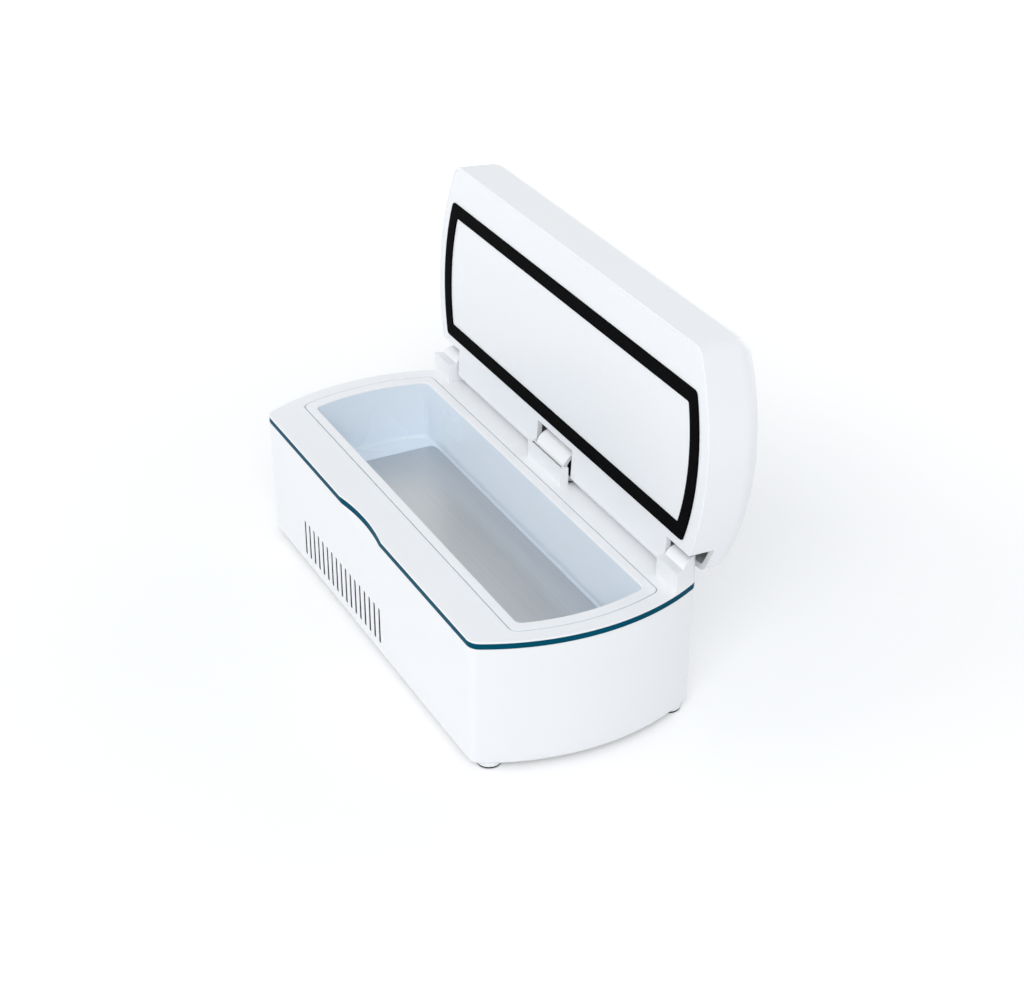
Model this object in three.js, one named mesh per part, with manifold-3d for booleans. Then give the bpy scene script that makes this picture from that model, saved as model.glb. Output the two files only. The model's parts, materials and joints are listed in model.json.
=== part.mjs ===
// Insulin cooling case: a small thermoelectric cool box with a hinged lid, shown open.
// Millimetres, +Z up, the length along X and the front towards -Y.
// The origin lies on the table, midway between the four feet.
import * as THREE from "three";
import { mergeVertices } from "three/addons/utils/BufferGeometryUtils.js";
import Module from "manifold-3d";

const wasm = await Module();
wasm.setup();

// Clearances
const fit = 0.3; // between pieces that seat in or on each other
const runningGap = 0.35; // round pieces that turn or slide

// Body plan: straight long sides, bulged ends
const bodyLength = 200;
const bodyWidth = 85;
const endRadius = 86.8;
const cornerRadius = 5;

// Lower housing
const footHeight = 2;
const housingHeight = 46.75;
const housingWall = 2;
const housingFloor = 2;
const housingTaper = 0.0125; // share of the plan lost between its top and its foot
const housingBottomEdge = 1.2;

// Teal band and deck
const bandHeight = 2.1;
const bandWidth = 1;
const deckLip = 0.6;
const deckEdge = 0.3;
const tongueDepth = 4;
const tongueWall = 1.2;

// Thumb scoop in the front of the deck, band and housing
const scoopLength = 35.4;
const scoopDepth = 1.65;
const scoopLean = THREE.MathUtils.degToRad(10);
const scoopRun = 14;

// Feet
const footDiameter = 8.4;
const footFromEnd = 14.1;
const footFromSide = 8.5;

// Vent slots, alike in the front and back walls
const slotCount = 17;
const slotPitch = 4.3;
const slotWidth = 1.5;
const slotHeight = 14.7;
const slotBottom = 6.4;
const ventFromEnd = 121; // right end of the body to the middle of the slots

// Chamber tray
const chamberFromEnd = 10.9;
const chamberFromSide = 18.85;
const chamberDepth = 22.5;
const chamberCorner = 3;
const chamberDraft = 0.5;
const linerWall = 1.2;
const flangeEnd = 4.6;
const flangeSide = 3.6;
const flangeThickness = 1.2;
const flangeSeam = 0.45;

// Cooling stack under the tray
const coldPlateEndGap = 14.1;
const coldPlateSideGap = 2.15;
const coldPlateThickness = 1.5;
const coldBlockLength = 60;
const coldBlockSetback = 1.5; // from the long edges of the cold plate
const coldBlockDrop = 0.25;
const peltierSide = 40;
const peltierThickness = 3.4;
const peltierCeramic = 0.8;
const sinkLength = 66;
const sinkFromSide = 11.5;
const sinkBase = 2.5;
const finCount = 15;
const finThickness = 1.2;
const sinkScrewSpacing = 50;
const smallScrewRadius = 1.5;
const smallHeadRadius = 2.75;
const smallHeadHeight = 2;
const foamUnderTray = 3;

// Fan
const fanSide = 40;
const fanThickness = 8;
const fanBore = 19;
const fanHub = 9;
const fanPlate = 1.2;
const fanShaft = 1.2;
const bladeCount = 7;
const bladeChord = 6.5;
const bladeThickness = 1;
const bladePitch = THREE.MathUtils.degToRad(40);
const fanHoleSpacing = 32;
const fanPinRadius = 1.4;
const intakePitch = 4.6;
const intakeWidth = 2.4;

// Power and control
const cellRadius = 9;
const cellLength = 66;
const batteryFromSink = 6;
const boardThickness = 1.6;
const boardPost = 4;
const boardFromBattery = 3;
const boardFromEnd = 9;
const boardFromColumn = 2.5;
const capacitorRadius = 4;
const capacitorHeight = 9;
const capacitorFromRight = 11;
const coilSide = 10;
const coilHeight = 5;
const chipSide = 9;
const chipHeight = 1.4;
const chipFromLeft = 12;
const plugLength = 9;
const plugWidth = 6;
const plugFromSide = 9;
const jackFromLeft = 6;
const jackWidth = 11;
const jackHeight = 11;
const jackLength = 14;
const jackNose = 3.9;
const jackBore = 2.75;
const jackPin = 0.95;
const sensorFromEnd = 38;
const sensorLength = 10;
const sensorWidth = 5;
const sensorHeight = 2;

// Screw columns that clamp the deck to the housing
const columnFromEnd = 22;
const columnFromSide = 9.5;
const columnRadius = 4.5;
const columnTop = 30;
const columnWeb = 6;
const deckColumnRadius = 3.5;
const caseScrewRadius = 1.5;
const caseHeadRadius = 2.9;
const caseHeadHeight = 2;
const caseScrewBite = 10;

// Magnets
const magnetFromEnd = 50;
const magnetFromSide = 8.5;
const magnetRadius = 3;
const magnetThickness = 2.5;
const cupWall = 1.2;

// Hinge
const hingeFromBack = 3.3;
const hingeAboveDeck = 5.23;
const lidOpenAngle = THREE.MathUtils.degToRad(93.2);
const barrelRadius = 6.2;
const barrelLength = 22.6;
const barrelBore = 2.2;
const saddleReach = 8.2; // hinge line to the front of the saddle
const saddleWall = 1;
const saddleHeight = 7.15;
const cheekThickness = 1.05;
const towerFromEnd = 19.3;
const towerReach = 7.9; // hinge line to the front of the towers
const towerRadius = 5.3;
const towerStep = 7.75;
const notchGap = 0.5;
const bossRadius = 3.1;
const bossLength = 10;
const pinRadius = 1.5;
const pinInTower = 7;
const lidHeelRadius = 4.9;

// Lid
const lidHeight = 23.1;
const lidEdgeRadius = 9;
const lidDraft = 0.4;
const lidWall = 2.2;
const lidRim = 1.2;
const panelThickness = 2;
const gasketGap = 0.35; // left between gasket and deck when shut
const gasketProud = 0.6;
const gasketFromEnd = 5.6;
const gasketFromSide = 15.05;
const gasketBand = 5.3;
const gasketGroove = 0.9;
const gasketCorner = 4;
const lidFoamMargin = 14;

// Display and button on the lid
const windowX = -14;
const windowLength = 52;
const windowWidth = 24;
const windowCorner = 3;
const windowThickness = 1.2;
const windowBorder = 3;
const lidBoardLength = 92;
const lidBoardWidth = 38;
const lidBoardX = 4;
const displayThickness = 4.3;
const stakeRadius = 1.2;
const buttonX = 34;
const buttonRadius = 6.5;
const buttonProud = 0.9;
const buttonFlange = 1.5;
const buttonFlangeThickness = 1.3;
const buttonStem = 0.6;
const buttonTravel = 0.5;
const switchSide = 6;

// Lengths and places in plan that follow from the sizes above
const chamberLength = bodyLength - 2 * chamberFromEnd;
const chamberWidth = bodyWidth - 2 * chamberFromSide;
const coldPlateLength = chamberLength - 2 * coldPlateEndGap;
const coldPlateWidth = chamberWidth - 2 * coldPlateSideGap;
const coldBlockWidth = coldPlateWidth - 2 * coldBlockSetback;
const slotCentre = bodyLength / 2 - ventFromEnd;
const sinkWidth = bodyWidth - 2 * sinkFromSide;
const batteryX = slotCentre + sinkLength / 2 + batteryFromSink + 2 * cellRadius;
const columnX = bodyLength / 2 - columnFromEnd;
const columnY = bodyWidth / 2 - columnFromSide;
const boardLeft = batteryX + 2 * cellRadius + boardFromBattery;
const boardRight = bodyLength / 2 - boardFromEnd;
const boardHalfWidth = columnY - columnRadius - boardFromColumn;
const jackX = boardLeft + jackFromLeft;
const sensorX = bodyLength / 2 - sensorFromEnd;
const magnetX = bodyLength / 2 - magnetFromEnd;
const magnetY = bodyWidth / 2 - magnetFromSide;
const hingeY = bodyWidth / 2 - hingeFromBack;
const saddleFrontY = hingeY - saddleReach;
const towerInner = bodyLength / 2 - towerFromEnd;
const towerFrontY = hingeY - towerReach;
const gasketLength = bodyLength - 2 * gasketFromEnd;
const gasketWidth = bodyWidth - 2 * gasketFromSide;

// Heights that follow from the sizes above
const floorTop = footHeight + housingFloor;
const bandBottom = footHeight + housingHeight;
const bandTop = bandBottom + bandHeight;
const bandMiddle = bandBottom + bandHeight / 2;
const deckTop = bandTop + deckLip;
const trayFloor = deckTop - chamberDepth - coldPlateThickness;
const trayBottom = trayFloor - linerWall;
const peltierTop = trayBottom - coldBlockDrop;
const sinkTop = peltierTop - peltierThickness;
const fanTop = floorTop + fanThickness;
const boardBottom = floorTop + boardPost;
const boardTop = boardBottom + boardThickness;
const hingeZ = deckTop + hingeAboveDeck;
const gasketFace = deckTop + gasketGap;
const lidEdge = gasketFace + gasketProud;
const lidTop = lidEdge + lidHeight;
const lidCeiling = lidTop - lidWall;
const panelTop = lidEdge + panelThickness;
const displayTop = lidCeiling - fit;
const lidBoardTop = displayTop - displayThickness - fit;
const lidBoardBottom = lidBoardTop - boardThickness;

// Facets on the arcs
const endSteps = 12;
const cornerSteps = 3;
const scoopSteps = 10;
const roundSides = 24; // large round pieces
const smallSides = 12; // screws, posts and holes

// Closed geometry to a solid, and back
function solidOf(geometry) {
  const bare = new THREE.BufferGeometry();
  bare.setAttribute("position", geometry.getAttribute("position"));
  bare.setIndex(geometry.getIndex());
  const merged = mergeVertices(bare, 1e-4);
  const corners = merged.getIndex().array;
  const triangles = [];
  for (let i = 0; i < corners.length; i += 3) {
    const [a, b, c] = corners.subarray(i, i + 3);
    if (a !== b && b !== c && c !== a) triangles.push(a, b, c);
  }
  const mesh = new wasm.Mesh({
    numProp: 3,
    vertProperties: new Float32Array(merged.getAttribute("position").array),
    triVerts: new Uint32Array(triangles),
  });
  return new wasm.Manifold(mesh);
}

function geometryOf(solid) {
  const mesh = solid.getMesh();
  const geometry = new THREE.BufferGeometry();
  geometry.setAttribute("position", new THREE.BufferAttribute(mesh.vertProperties, 3));
  geometry.setIndex(new THREE.BufferAttribute(mesh.triVerts, 1));
  const faceted = geometry.toNonIndexed();
  faceted.computeVertexNormals();
  return faceted;
}

function join(...solids) {
  return solids.reduce((whole, piece) => whole.add(piece));
}

function cut(solid, ...tools) {
  return tools.reduce((whole, tool) => whole.subtract(tool), solid);
}

// Outlines
function arc(x, y, radius, from, to, steps) {
  const points = [];
  for (let i = 0; i <= steps; i++) {
    const angle = from + ((to - from) * i) / steps;
    points.push(new THREE.Vector2(x + radius * Math.cos(angle), y + radius * Math.sin(angle)));
  }
  return points;
}

// Straight long sides with bulged ends struck from the body's own end centres
function bulged(length, width, corner) {
  const centre = bodyLength / 2 - endRadius;
  const radius = length / 2 - centre;
  const cornerY = width / 2 - corner;
  const cornerX = centre + Math.sqrt((radius - corner) ** 2 - cornerY ** 2);
  const lean = Math.atan2(cornerY, cornerX - centre);
  const right = [
    ...arc(cornerX, -cornerY, corner, -Math.PI / 2, -lean, cornerSteps),
    ...arc(centre, 0, radius, -lean, lean, endSteps).slice(1),
    ...arc(cornerX, cornerY, corner, lean, Math.PI / 2, cornerSteps).slice(1),
  ];
  const left = right.map((point) => new THREE.Vector2(-point.x, -point.y));
  return [...right, ...left];
}

// The body's outline drawn in by an even distance
function bodyOutline(inset) {
  return bulged(bodyLength - 2 * inset, bodyWidth - 2 * inset, Math.max(cornerRadius - inset, 1));
}

function roundedBox(length, width, corner) {
  const x = length / 2 - corner;
  const y = width / 2 - corner;
  const quarter = Math.PI / 2;
  return [
    ...arc(x, -y, corner, -quarter, 0, cornerSteps),
    ...arc(x, y, corner, 0, quarter, cornerSteps),
    ...arc(-x, y, corner, quarter, 2 * quarter, cornerSteps),
    ...arc(-x, -y, corner, 2 * quarter, 3 * quarter, cornerSteps),
  ];
}

function shifted(points, x, y) {
  return points.map((point) => new THREE.Vector2(x + point.x, y + point.y));
}

// Two half rounds joined by straight sides, the long way along the second axis
function stadium(width, height, steps) {
  const radius = width / 2;
  const reach = height / 2 - radius;
  const upper = arc(0, reach, radius, 0, Math.PI, steps);
  const lower = arc(0, -reach, radius, Math.PI, 2 * Math.PI, steps);
  return [...upper, ...lower];
}

// Solids
function block(x0, x1, y0, y1, z0, z1) {
  const geometry = new THREE.BoxGeometry(x1 - x0, y1 - y0, z1 - z0);
  geometry.translate((x0 + x1) / 2, (y0 + y1) / 2, (z0 + z1) / 2);
  return solidOf(geometry);
}

function extruded(points, depth) {
  return new THREE.ExtrudeGeometry(new THREE.Shape(points), { depth, bevelEnabled: false });
}

// Outline in X and Y, from one height to another
function plate(points, z0, z1) {
  return solidOf(extruded(points, z1 - z0).translate(0, 0, z0));
}

// Profile drawn in Y and Z, run along X
function alongX(points, x0, x1) {
  const axes = new THREE.Matrix4().makeBasis(
    new THREE.Vector3(0, 1, 0),
    new THREE.Vector3(0, 0, 1),
    new THREE.Vector3(1, 0, 0),
  );
  return solidOf(extruded(points, x1 - x0).applyMatrix4(axes).translate(x0, 0, 0));
}

// Profile drawn in X and Z, run along Y
function alongY(points, y0, y1) {
  const axes = new THREE.Matrix4().makeBasis(
    new THREE.Vector3(1, 0, 0),
    new THREE.Vector3(0, 0, 1),
    new THREE.Vector3(0, -1, 0),
  );
  return solidOf(extruded(points, y1 - y0).applyMatrix4(axes).translate(0, y1, 0));
}

function rodZ(x, y, radius, z0, z1, sides = smallSides) {
  const geometry = new THREE.CylinderGeometry(radius, radius, z1 - z0, sides);
  return solidOf(geometry.rotateX(Math.PI / 2).translate(x, y, (z0 + z1) / 2));
}

function rodX(y, z, radius, x0, x1, sides = smallSides) {
  const geometry = new THREE.CylinderGeometry(radius, radius, x1 - x0, sides);
  return solidOf(geometry.rotateZ(Math.PI / 2).translate((x0 + x1) / 2, y, z));
}

function rodY(x, z, radius, y0, y1, sides = smallSides) {
  const geometry = new THREE.CylinderGeometry(radius, radius, y1 - y0, sides);
  return solidOf(geometry.translate(x, (y0 + y1) / 2, z));
}

// Profile of radius and height turned about Z; it starts and ends on the axis and runs upwards
function turned(profile, sides = smallSides) {
  const points = profile.map(([radius, height]) => new THREE.Vector2(radius, height));
  return solidOf(new THREE.LatheGeometry(points, sides).rotateX(Math.PI / 2));
}

// Copies of one outline stacked up; a level is a height and how far the outline is drawn in there
function stacked(points, levels) {
  const reachX = Math.max(...points.map((point) => point.x));
  const reachY = Math.max(...points.map((point) => point.y));
  const steps = levels.length - 1;
  const options = { depth: steps, steps, bevelEnabled: false };
  const geometry = new THREE.ExtrudeGeometry(new THREE.Shape(points), options);
  const position = geometry.getAttribute("position");
  for (let i = 0; i < position.count; i++) {
    const [height, inset] = levels[Math.round(position.getZ(i))];
    const x = position.getX(i) * (1 - inset / reachX);
    const y = position.getY(i) * (1 - inset / reachY);
    position.setXYZ(i, x, y, height);
  }
  return geometry;
}

// The housing narrows towards its foot, and what fits its wall follows it
function drafted(geometry) {
  const position = geometry.getAttribute("position");
  for (let i = 0; i < position.count; i++) {
    const scale = 1 - (housingTaper * (bandBottom - position.getZ(i))) / housingHeight;
    position.setXY(i, position.getX(i) * scale, position.getY(i) * scale);
  }
  return geometry;
}

function draftedPlate(inset, z0, z1) {
  return solidOf(drafted(extruded(bodyOutline(inset), z1 - z0).translate(0, 0, z0)));
}

// Room taken by the thumb scoop, grown inwards by the thickness of what backs it.
// It is deepest at the deck and runs out down the front.
function scoop(growth) {
  const radius = (scoopLength ** 2 / 4 + scoopDepth ** 2) / (2 * scoopDepth);
  const centreY = -bodyWidth / 2 + scoopDepth - radius;
  const spread = Math.acos((radius - scoopDepth - housingWall) / (radius + growth));
  const points = arc(0, centreY, radius + growth, Math.PI / 2 - spread, Math.PI / 2 + spread, scoopSteps);
  const z0 = bandMiddle - scoopRun;
  const z1 = deckTop + scoopDepth;
  const geometry = extruded(points, z1 - z0).translate(0, 0, z0);
  const position = geometry.getAttribute("position");
  for (let i = 0; i < position.count; i++) {
    const lean = (position.getZ(i) - bandMiddle) * Math.tan(scoopLean);
    position.setY(i, position.getY(i) + lean);
  }
  return solidOf(geometry);
}

// One layer of the body's plan with the scoop taken out
function layer(inset, z0, z1) {
  return cut(plate(bodyOutline(inset), z0, z1), scoop(inset));
}

function fourCorners(x, y) {
  return [
    [-x, -y],
    [x, -y],
    [x, y],
    [-x, y],
  ];
}

// Colours
const white = new THREE.MeshStandardMaterial({ color: 0xf4f6fa, roughness: 0.35, metalness: 0 });
const paleWhite = new THREE.MeshStandardMaterial({ color: 0xe8f0fa, roughness: 0.3, metalness: 0 });
const teal = new THREE.MeshStandardMaterial({ color: 0x0f5673, roughness: 0.3, metalness: 0 });
const black = new THREE.MeshStandardMaterial({ color: 0x08080a, roughness: 0.7, metalness: 0 });
const darkGrey = new THREE.MeshStandardMaterial({ color: 0x2a2b2e, roughness: 0.6, metalness: 0 });
const foamGrey = new THREE.MeshStandardMaterial({ color: 0xd9dadc, roughness: 0.95, metalness: 0 });
const aluminium = new THREE.MeshStandardMaterial({ color: 0xc2c6ca, roughness: 0.4, metalness: 1 });
const steel = new THREE.MeshStandardMaterial({ color: 0xaeb1b5, roughness: 0.3, metalness: 1 });
const ceramic = new THREE.MeshStandardMaterial({ color: 0xe9e6df, roughness: 0.6, metalness: 0 });
const boardGreen = new THREE.MeshStandardMaterial({ color: 0x1d5a38, roughness: 0.5, metalness: 0 });
const cellBlue = new THREE.MeshStandardMaterial({ color: 0x27549a, roughness: 0.4, metalness: 0 });
const smoked = new THREE.MeshStandardMaterial({ color: 0x12161b, roughness: 0.1, metalness: 0 });
const displayGrey = new THREE.MeshStandardMaterial({ color: 0x7d8a80, roughness: 0.4, metalness: 0 });
const silver = new THREE.MeshStandardMaterial({ color: 0xc8ccd2, roughness: 0.35, metalness: 0 });

const coolingCase = new THREE.Group();
const lid = new THREE.Group();
const button = new THREE.Group();
const rotor = new THREE.Group();
lid.position.set(0, hingeY, hingeZ);
lid.rotation.x = -lidOpenAngle;
button.position.set(buttonX, -hingeY, lidTop - hingeZ);
rotor.position.set(slotCentre, 0, floorTop);
lid.add(button);
coolingCase.add(lid, rotor);

function add(parent, name, solid, material, position = [0, 0, 0]) {
  const mesh = new THREE.Mesh(geometryOf(solid), material);
  mesh.name = name;
  mesh.position.set(...position);
  parent.add(mesh);
}

// Pieces of the lid are drawn as if it were shut, then moved to the hinge line
function addToLid(name, solid, material) {
  add(lid, name, solid, material, [0, -hingeY, -hingeZ]);
}

// Battery pack: two round cells side by side in one wrap
function batterySolid(growth) {
  const profile = stadium(2 * (cellRadius + growth), 4 * cellRadius + 2 * growth, 10);
  const centreZ = floorTop + fit + cellRadius;
  const laid = profile.map((point) => new THREE.Vector2(batteryX + point.y, centreZ - point.x));
  return alongY(laid, -cellLength / 2 - growth, cellLength / 2 + growth);
}

// Lower housing: drafted tub with vents, fan intake, screw columns and seats for what it holds
function lowerHousing() {
  const edge = housingBottomEdge;
  const levels = [
    [footHeight, edge],
    [footHeight + 0.29 * edge, 0.29 * edge],
    [footHeight + edge, 0],
    [bandBottom, 0],
  ];
  const outside = solidOf(drafted(stacked(bodyOutline(0), levels)));
  const inside = cut(draftedPlate(housingWall, floorTop, bandBottom + 1), scoop(housingWall));
  let housing = cut(outside, inside, scoop(0));

  const seats = [];
  for (const [x, y] of fourCorners(columnX, columnY)) {
    seats.push(rodZ(x, y, columnRadius, floorTop - fit, columnTop));
  }
  for (const [x, y] of fourCorners(fanHoleSpacing / 2, fanHoleSpacing / 2)) {
    seats.push(rodZ(slotCentre + x, y, fanPinRadius, floorTop - fit, fanTop - fanPlate));
  }
  const boardMiddle = (boardLeft + boardRight) / 2;
  const boardReach = (boardRight - boardLeft) / 2 - boardPost;
  for (const [x, y] of fourCorners(boardReach, boardHalfWidth - boardPost)) {
    seats.push(rodZ(boardMiddle + x, y, boardPost / 2, floorTop - fit, boardBottom));
  }
  for (const side of [-1, 1]) {
    const y = (side * cellLength) / 3;
    const half = 2 * cellRadius - fit;
    const ribTop = floorTop + cellRadius;
    const rib = block(batteryX - half, batteryX + half, y - 1, y + 1, floorTop - fit, ribTop);
    seats.push(cut(rib, batterySolid(fit)));
  }
  housing = join(housing, ...seats);

  const slot = stadium(slotWidth, slotHeight, 3);
  const slots = [];
  for (let i = 0; i < slotCount; i++) {
    const x = slotCentre + (i - (slotCount - 1) / 2) * slotPitch;
    const z = slotBottom + slotHeight / 2;
    const placed = shifted(slot, x, z);
    const reach = bodyWidth / 2 + 1;
    const depth = bodyWidth / 2 - 2 * housingWall;
    slots.push(alongY(placed, -reach, -depth), alongY(placed, depth, reach));
  }
  const intake = [];
  for (let i = -3; i <= 3; i++) {
    const x = slotCentre + i * intakePitch;
    const half = Math.sqrt(fanBore ** 2 - (i * intakePitch) ** 2) - 1;
    const bar = stadium(intakeWidth, 2 * half, 3);
    intake.push(plate(shifted(bar, x, 0), footHeight - 1, floorTop + 1));
  }
  const bores = [];
  for (const [x, y] of fourCorners(columnX, columnY)) {
    bores.push(rodZ(x, y, caseHeadRadius + fit, footHeight - 1, columnTop - columnWeb));
    bores.push(rodZ(x, y, caseScrewRadius + fit, footHeight, columnTop + 1));
  }
  const jackZ = boardTop + jackHeight / 2;
  const backWall = bodyWidth / 2;
  const jackHole = rodY(jackX, jackZ, jackNose + fit, backWall - 2 * housingWall, backWall + 1, roundSides);
  return cut(housing, ...slots, ...intake, ...bores, jackHole);
}

// Hinge saddle at the middle of the deck: a low front wall and two cheeks round the lid's barrel
function saddle() {
  const half = barrelLength / 2 + runningGap + cheekThickness;
  const top = deckTop + saddleHeight;
  const body = block(-half, half, saddleFrontY, hingeY, bandTop, top);
  const room = barrelLength / 2 + runningGap;
  const pocket = block(-room, room, saddleFrontY + saddleWall, hingeY + barrelRadius, deckTop, top + 1);
  return cut(body, pocket);
}

// Hinge tower at an end of the deck: stepped front, round top, outer end flush with the body
function tower(side) {
  const step = deckTop + towerStep;
  const rise = step - hingeZ;
  const from = Math.PI - Math.asin(rise / towerRadius);
  const profile = [
    new THREE.Vector2(bodyWidth / 2, bandTop),
    new THREE.Vector2(hingeY + towerRadius, hingeZ),
    ...arc(hingeY, hingeZ, towerRadius, 0, from, 8).slice(1),
    new THREE.Vector2(towerFrontY, step),
    new THREE.Vector2(towerFrontY, bandTop),
  ];
  const reach = bodyLength / 2;
  const span = side > 0 ? [towerInner, reach] : [-reach, -towerInner];
  const bodyEnd = plate(bodyOutline(0), bandTop - 1, hingeZ + 2 * towerRadius);
  return alongX(profile, ...span).intersect(bodyEnd);
}

// Deck: thin lip over the band, plate inside it, tongue into the housing, columns, magnet cups and hinge
function topDeck() {
  const lipLevels = [
    [bandTop, 0],
    [deckTop - deckEdge, 0],
    [deckTop, deckEdge],
  ];
  const lip = cut(solidOf(stacked(bodyOutline(0), lipLevels)), scoop(0));
  const plateBody = layer(bandWidth + fit, bandBottom, bandTop + fit);
  const tongueOuter = housingWall + fit;
  const tongueBottom = bandBottom - tongueDepth;
  const tongueInner = tongueOuter + tongueWall;
  const tongue = cut(
    cut(draftedPlate(tongueOuter, tongueBottom, bandBottom + fit), scoop(tongueOuter)),
    cut(draftedPlate(tongueInner, tongueBottom - 1, bandBottom), scoop(tongueInner)),
  );
  const extras = [saddle(), tower(-1), tower(1)];
  for (const [x, y] of fourCorners(columnX, columnY)) {
    extras.push(rodZ(x, y, deckColumnRadius, columnTop, bandBottom + fit));
  }
  const cupRadius = magnetRadius + fit + cupWall;
  const cupBottom = bandBottom - magnetThickness;
  for (const x of [-magnetX, magnetX]) {
    extras.push(rodZ(x, -magnetY, cupRadius, cupBottom, bandBottom + fit));
  }
  const deck = join(lip, plateBody, tongue, ...extras);

  const rebate = plate(
    bulged(
      chamberLength + 2 * (flangeEnd + flangeSeam),
      chamberWidth + 2 * (flangeSide + flangeSeam),
      chamberCorner + flangeSeam,
    ),
    deckTop - flangeThickness,
    deckTop + 1,
  );
  const opening = plate(linerOutline(fit), bandBottom - 1, deckTop + 1);
  const troughHalf = barrelLength / 2 + runningGap;
  const trough = rodX(hingeY, hingeZ, barrelRadius + runningGap, -troughHalf, troughHalf, roundSides);
  const holes = [];
  for (const x of [-magnetX, magnetX]) {
    holes.push(rodZ(x, -magnetY, magnetRadius + fit, cupBottom - 1, bandBottom));
  }
  for (const [x, y] of fourCorners(columnX, columnY)) {
    holes.push(rodZ(x, y, caseScrewRadius + fit, columnTop - 1, columnTop + caseScrewBite + 1));
  }
  const pinEnd = towerInner + pinInTower + fit;
  holes.push(rodX(hingeY, hingeZ, pinRadius + fit, towerInner - 1, pinEnd));
  holes.push(rodX(hingeY, hingeZ, pinRadius + fit, -pinEnd, 1 - towerInner));
  return cut(deck, rebate, opening, trough, ...holes);
}

// Teal band between housing and deck; it follows the thumb scoop
function trimBand() {
  return cut(layer(0, bandBottom, bandTop), layer(bandWidth, bandBottom - 1, bandTop + 1));
}

function linerOutline(growth) {
  const extra = 2 * (linerWall + growth);
  return bulged(chamberLength + extra, chamberWidth + extra, chamberCorner + linerWall + growth);
}

// Tray with a flat flange that lies in the deck, and a window for the cold block
function chamberLiner() {
  const flange = plate(
    bulged(chamberLength + 2 * flangeEnd, chamberWidth + 2 * flangeSide, chamberCorner),
    deckTop - flangeThickness,
    deckTop,
  );
  const body = plate(linerOutline(0), trayBottom, deckTop - flangeThickness / 2);
  const pocketLevels = [
    [trayFloor, chamberDraft],
    [deckTop + 1, 0],
  ];
  const pocket = solidOf(stacked(bulged(chamberLength, chamberWidth, chamberCorner), pocketLevels));
  return cut(join(flange, body), pocket, coldBlock(fit, trayBottom - 1, trayFloor + 1));
}

function coldBlock(growth, z0, z1) {
  const x = coldBlockLength / 2 + growth;
  const y = coldBlockWidth / 2 + growth;
  return block(slotCentre - x, slotCentre + x, -y, y, z0, z1);
}

const sinkScrewPlaces = [slotCentre - sinkScrewSpacing / 2, slotCentre + sinkScrewSpacing / 2];

// Aluminium floor of the chamber with the block that reaches down to the cooling module
function coldPlate() {
  const outline = roundedBox(coldPlateLength, coldPlateWidth, chamberCorner);
  const top = plate(outline, trayFloor, trayFloor + coldPlateThickness);
  const middle = trayFloor + coldPlateThickness / 2;
  const drop = coldBlock(0, peltierTop, middle);
  const bore = smallScrewRadius + fit;
  const holes = sinkScrewPlaces.map((x) => rodZ(x, 0, bore, peltierTop - 1, middle));
  return cut(join(top, drop), ...holes);
}

// Foam that fills the housing round the tray
function insulationFoam() {
  const inset = housingWall + tongueWall + 2 * fit;
  const bottom = trayBottom - foamUnderTray - fit;
  const outside = cut(draftedPlate(inset, bottom, bandBottom - fit), scoop(inset));
  const tools = [plate(linerOutline(fit), trayBottom - fit, bandBottom + 1)];
  tools.push(coldBlock(fit, bottom - 1, trayBottom), peltierRoom(bottom - 1));
  for (const [x, y] of fourCorners(columnX, columnY)) {
    tools.push(rodZ(x, y, columnRadius + fit, bottom - 1, columnTop + fit));
    tools.push(rodZ(x, y, deckColumnRadius + fit, columnTop, bandBottom));
  }
  const cupRadius = magnetRadius + cupWall + 2 * fit;
  for (const x of [-magnetX, magnetX]) {
    tools.push(rodZ(x, -magnetY, cupRadius, bandBottom - magnetThickness - fit, bandBottom));
  }
  tools.push(sensorBox(fit));
  return cut(outside, ...tools);
}

function sensorBox(growth) {
  const length = sensorLength + 2 * growth;
  const width = sensorWidth + 2 * growth;
  const x = sensorX - length / 2;
  const bottom = trayBottom - sensorHeight - growth;
  return block(x, x + length, -width / 2, width / 2, bottom, trayBottom);
}

// Gap left in the foam for the cooling module
function peltierRoom(bottom) {
  const half = peltierSide / 2 + fit;
  return block(slotCentre - half, slotCentre + half, -half, half, bottom, peltierTop + fit);
}

// Thermoelectric module: two ceramic plates with the pellets set back between them
function peltierModule() {
  const half = peltierSide / 2;
  const inner = half - peltierCeramic;
  const left = slotCentre - half;
  const right = slotCentre + half;
  const cold = block(left, right, -half, half, peltierTop - peltierCeramic, peltierTop);
  const hot = block(left, right, -half, half, sinkTop, sinkTop + peltierCeramic);
  const pellets = block(
    slotCentre - inner,
    slotCentre + inner,
    -inner,
    inner,
    sinkTop + peltierCeramic / 2,
    peltierTop - peltierCeramic / 2,
  );
  return join(cold, hot, pellets);
}

// Heat sink: base with fins that run to the front and back vents
function heatSink() {
  const left = slotCentre - sinkLength / 2;
  const right = slotCentre + sinkLength / 2;
  const half = sinkWidth / 2;
  const baseBottom = sinkTop - sinkBase;
  let sink = block(left, right, -half, half, baseBottom, sinkTop);
  const pitch = (sinkLength - finThickness) / (finCount - 1);
  for (let i = 0; i < finCount; i++) {
    const x = left + i * pitch;
    sink = join(sink, block(x, x + finThickness, -half, half, fanTop + fit, baseBottom + finThickness / 2));
  }
  const room = smallHeadRadius + 1;
  const tools = [];
  for (const x of sinkScrewPlaces) {
    tools.push(block(x - room, x + room, -room, room, fanTop, baseBottom));
    tools.push(rodZ(x, 0, smallScrewRadius + fit, baseBottom - 1, sinkTop + 1));
  }
  return cut(sink, ...tools);
}

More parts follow.
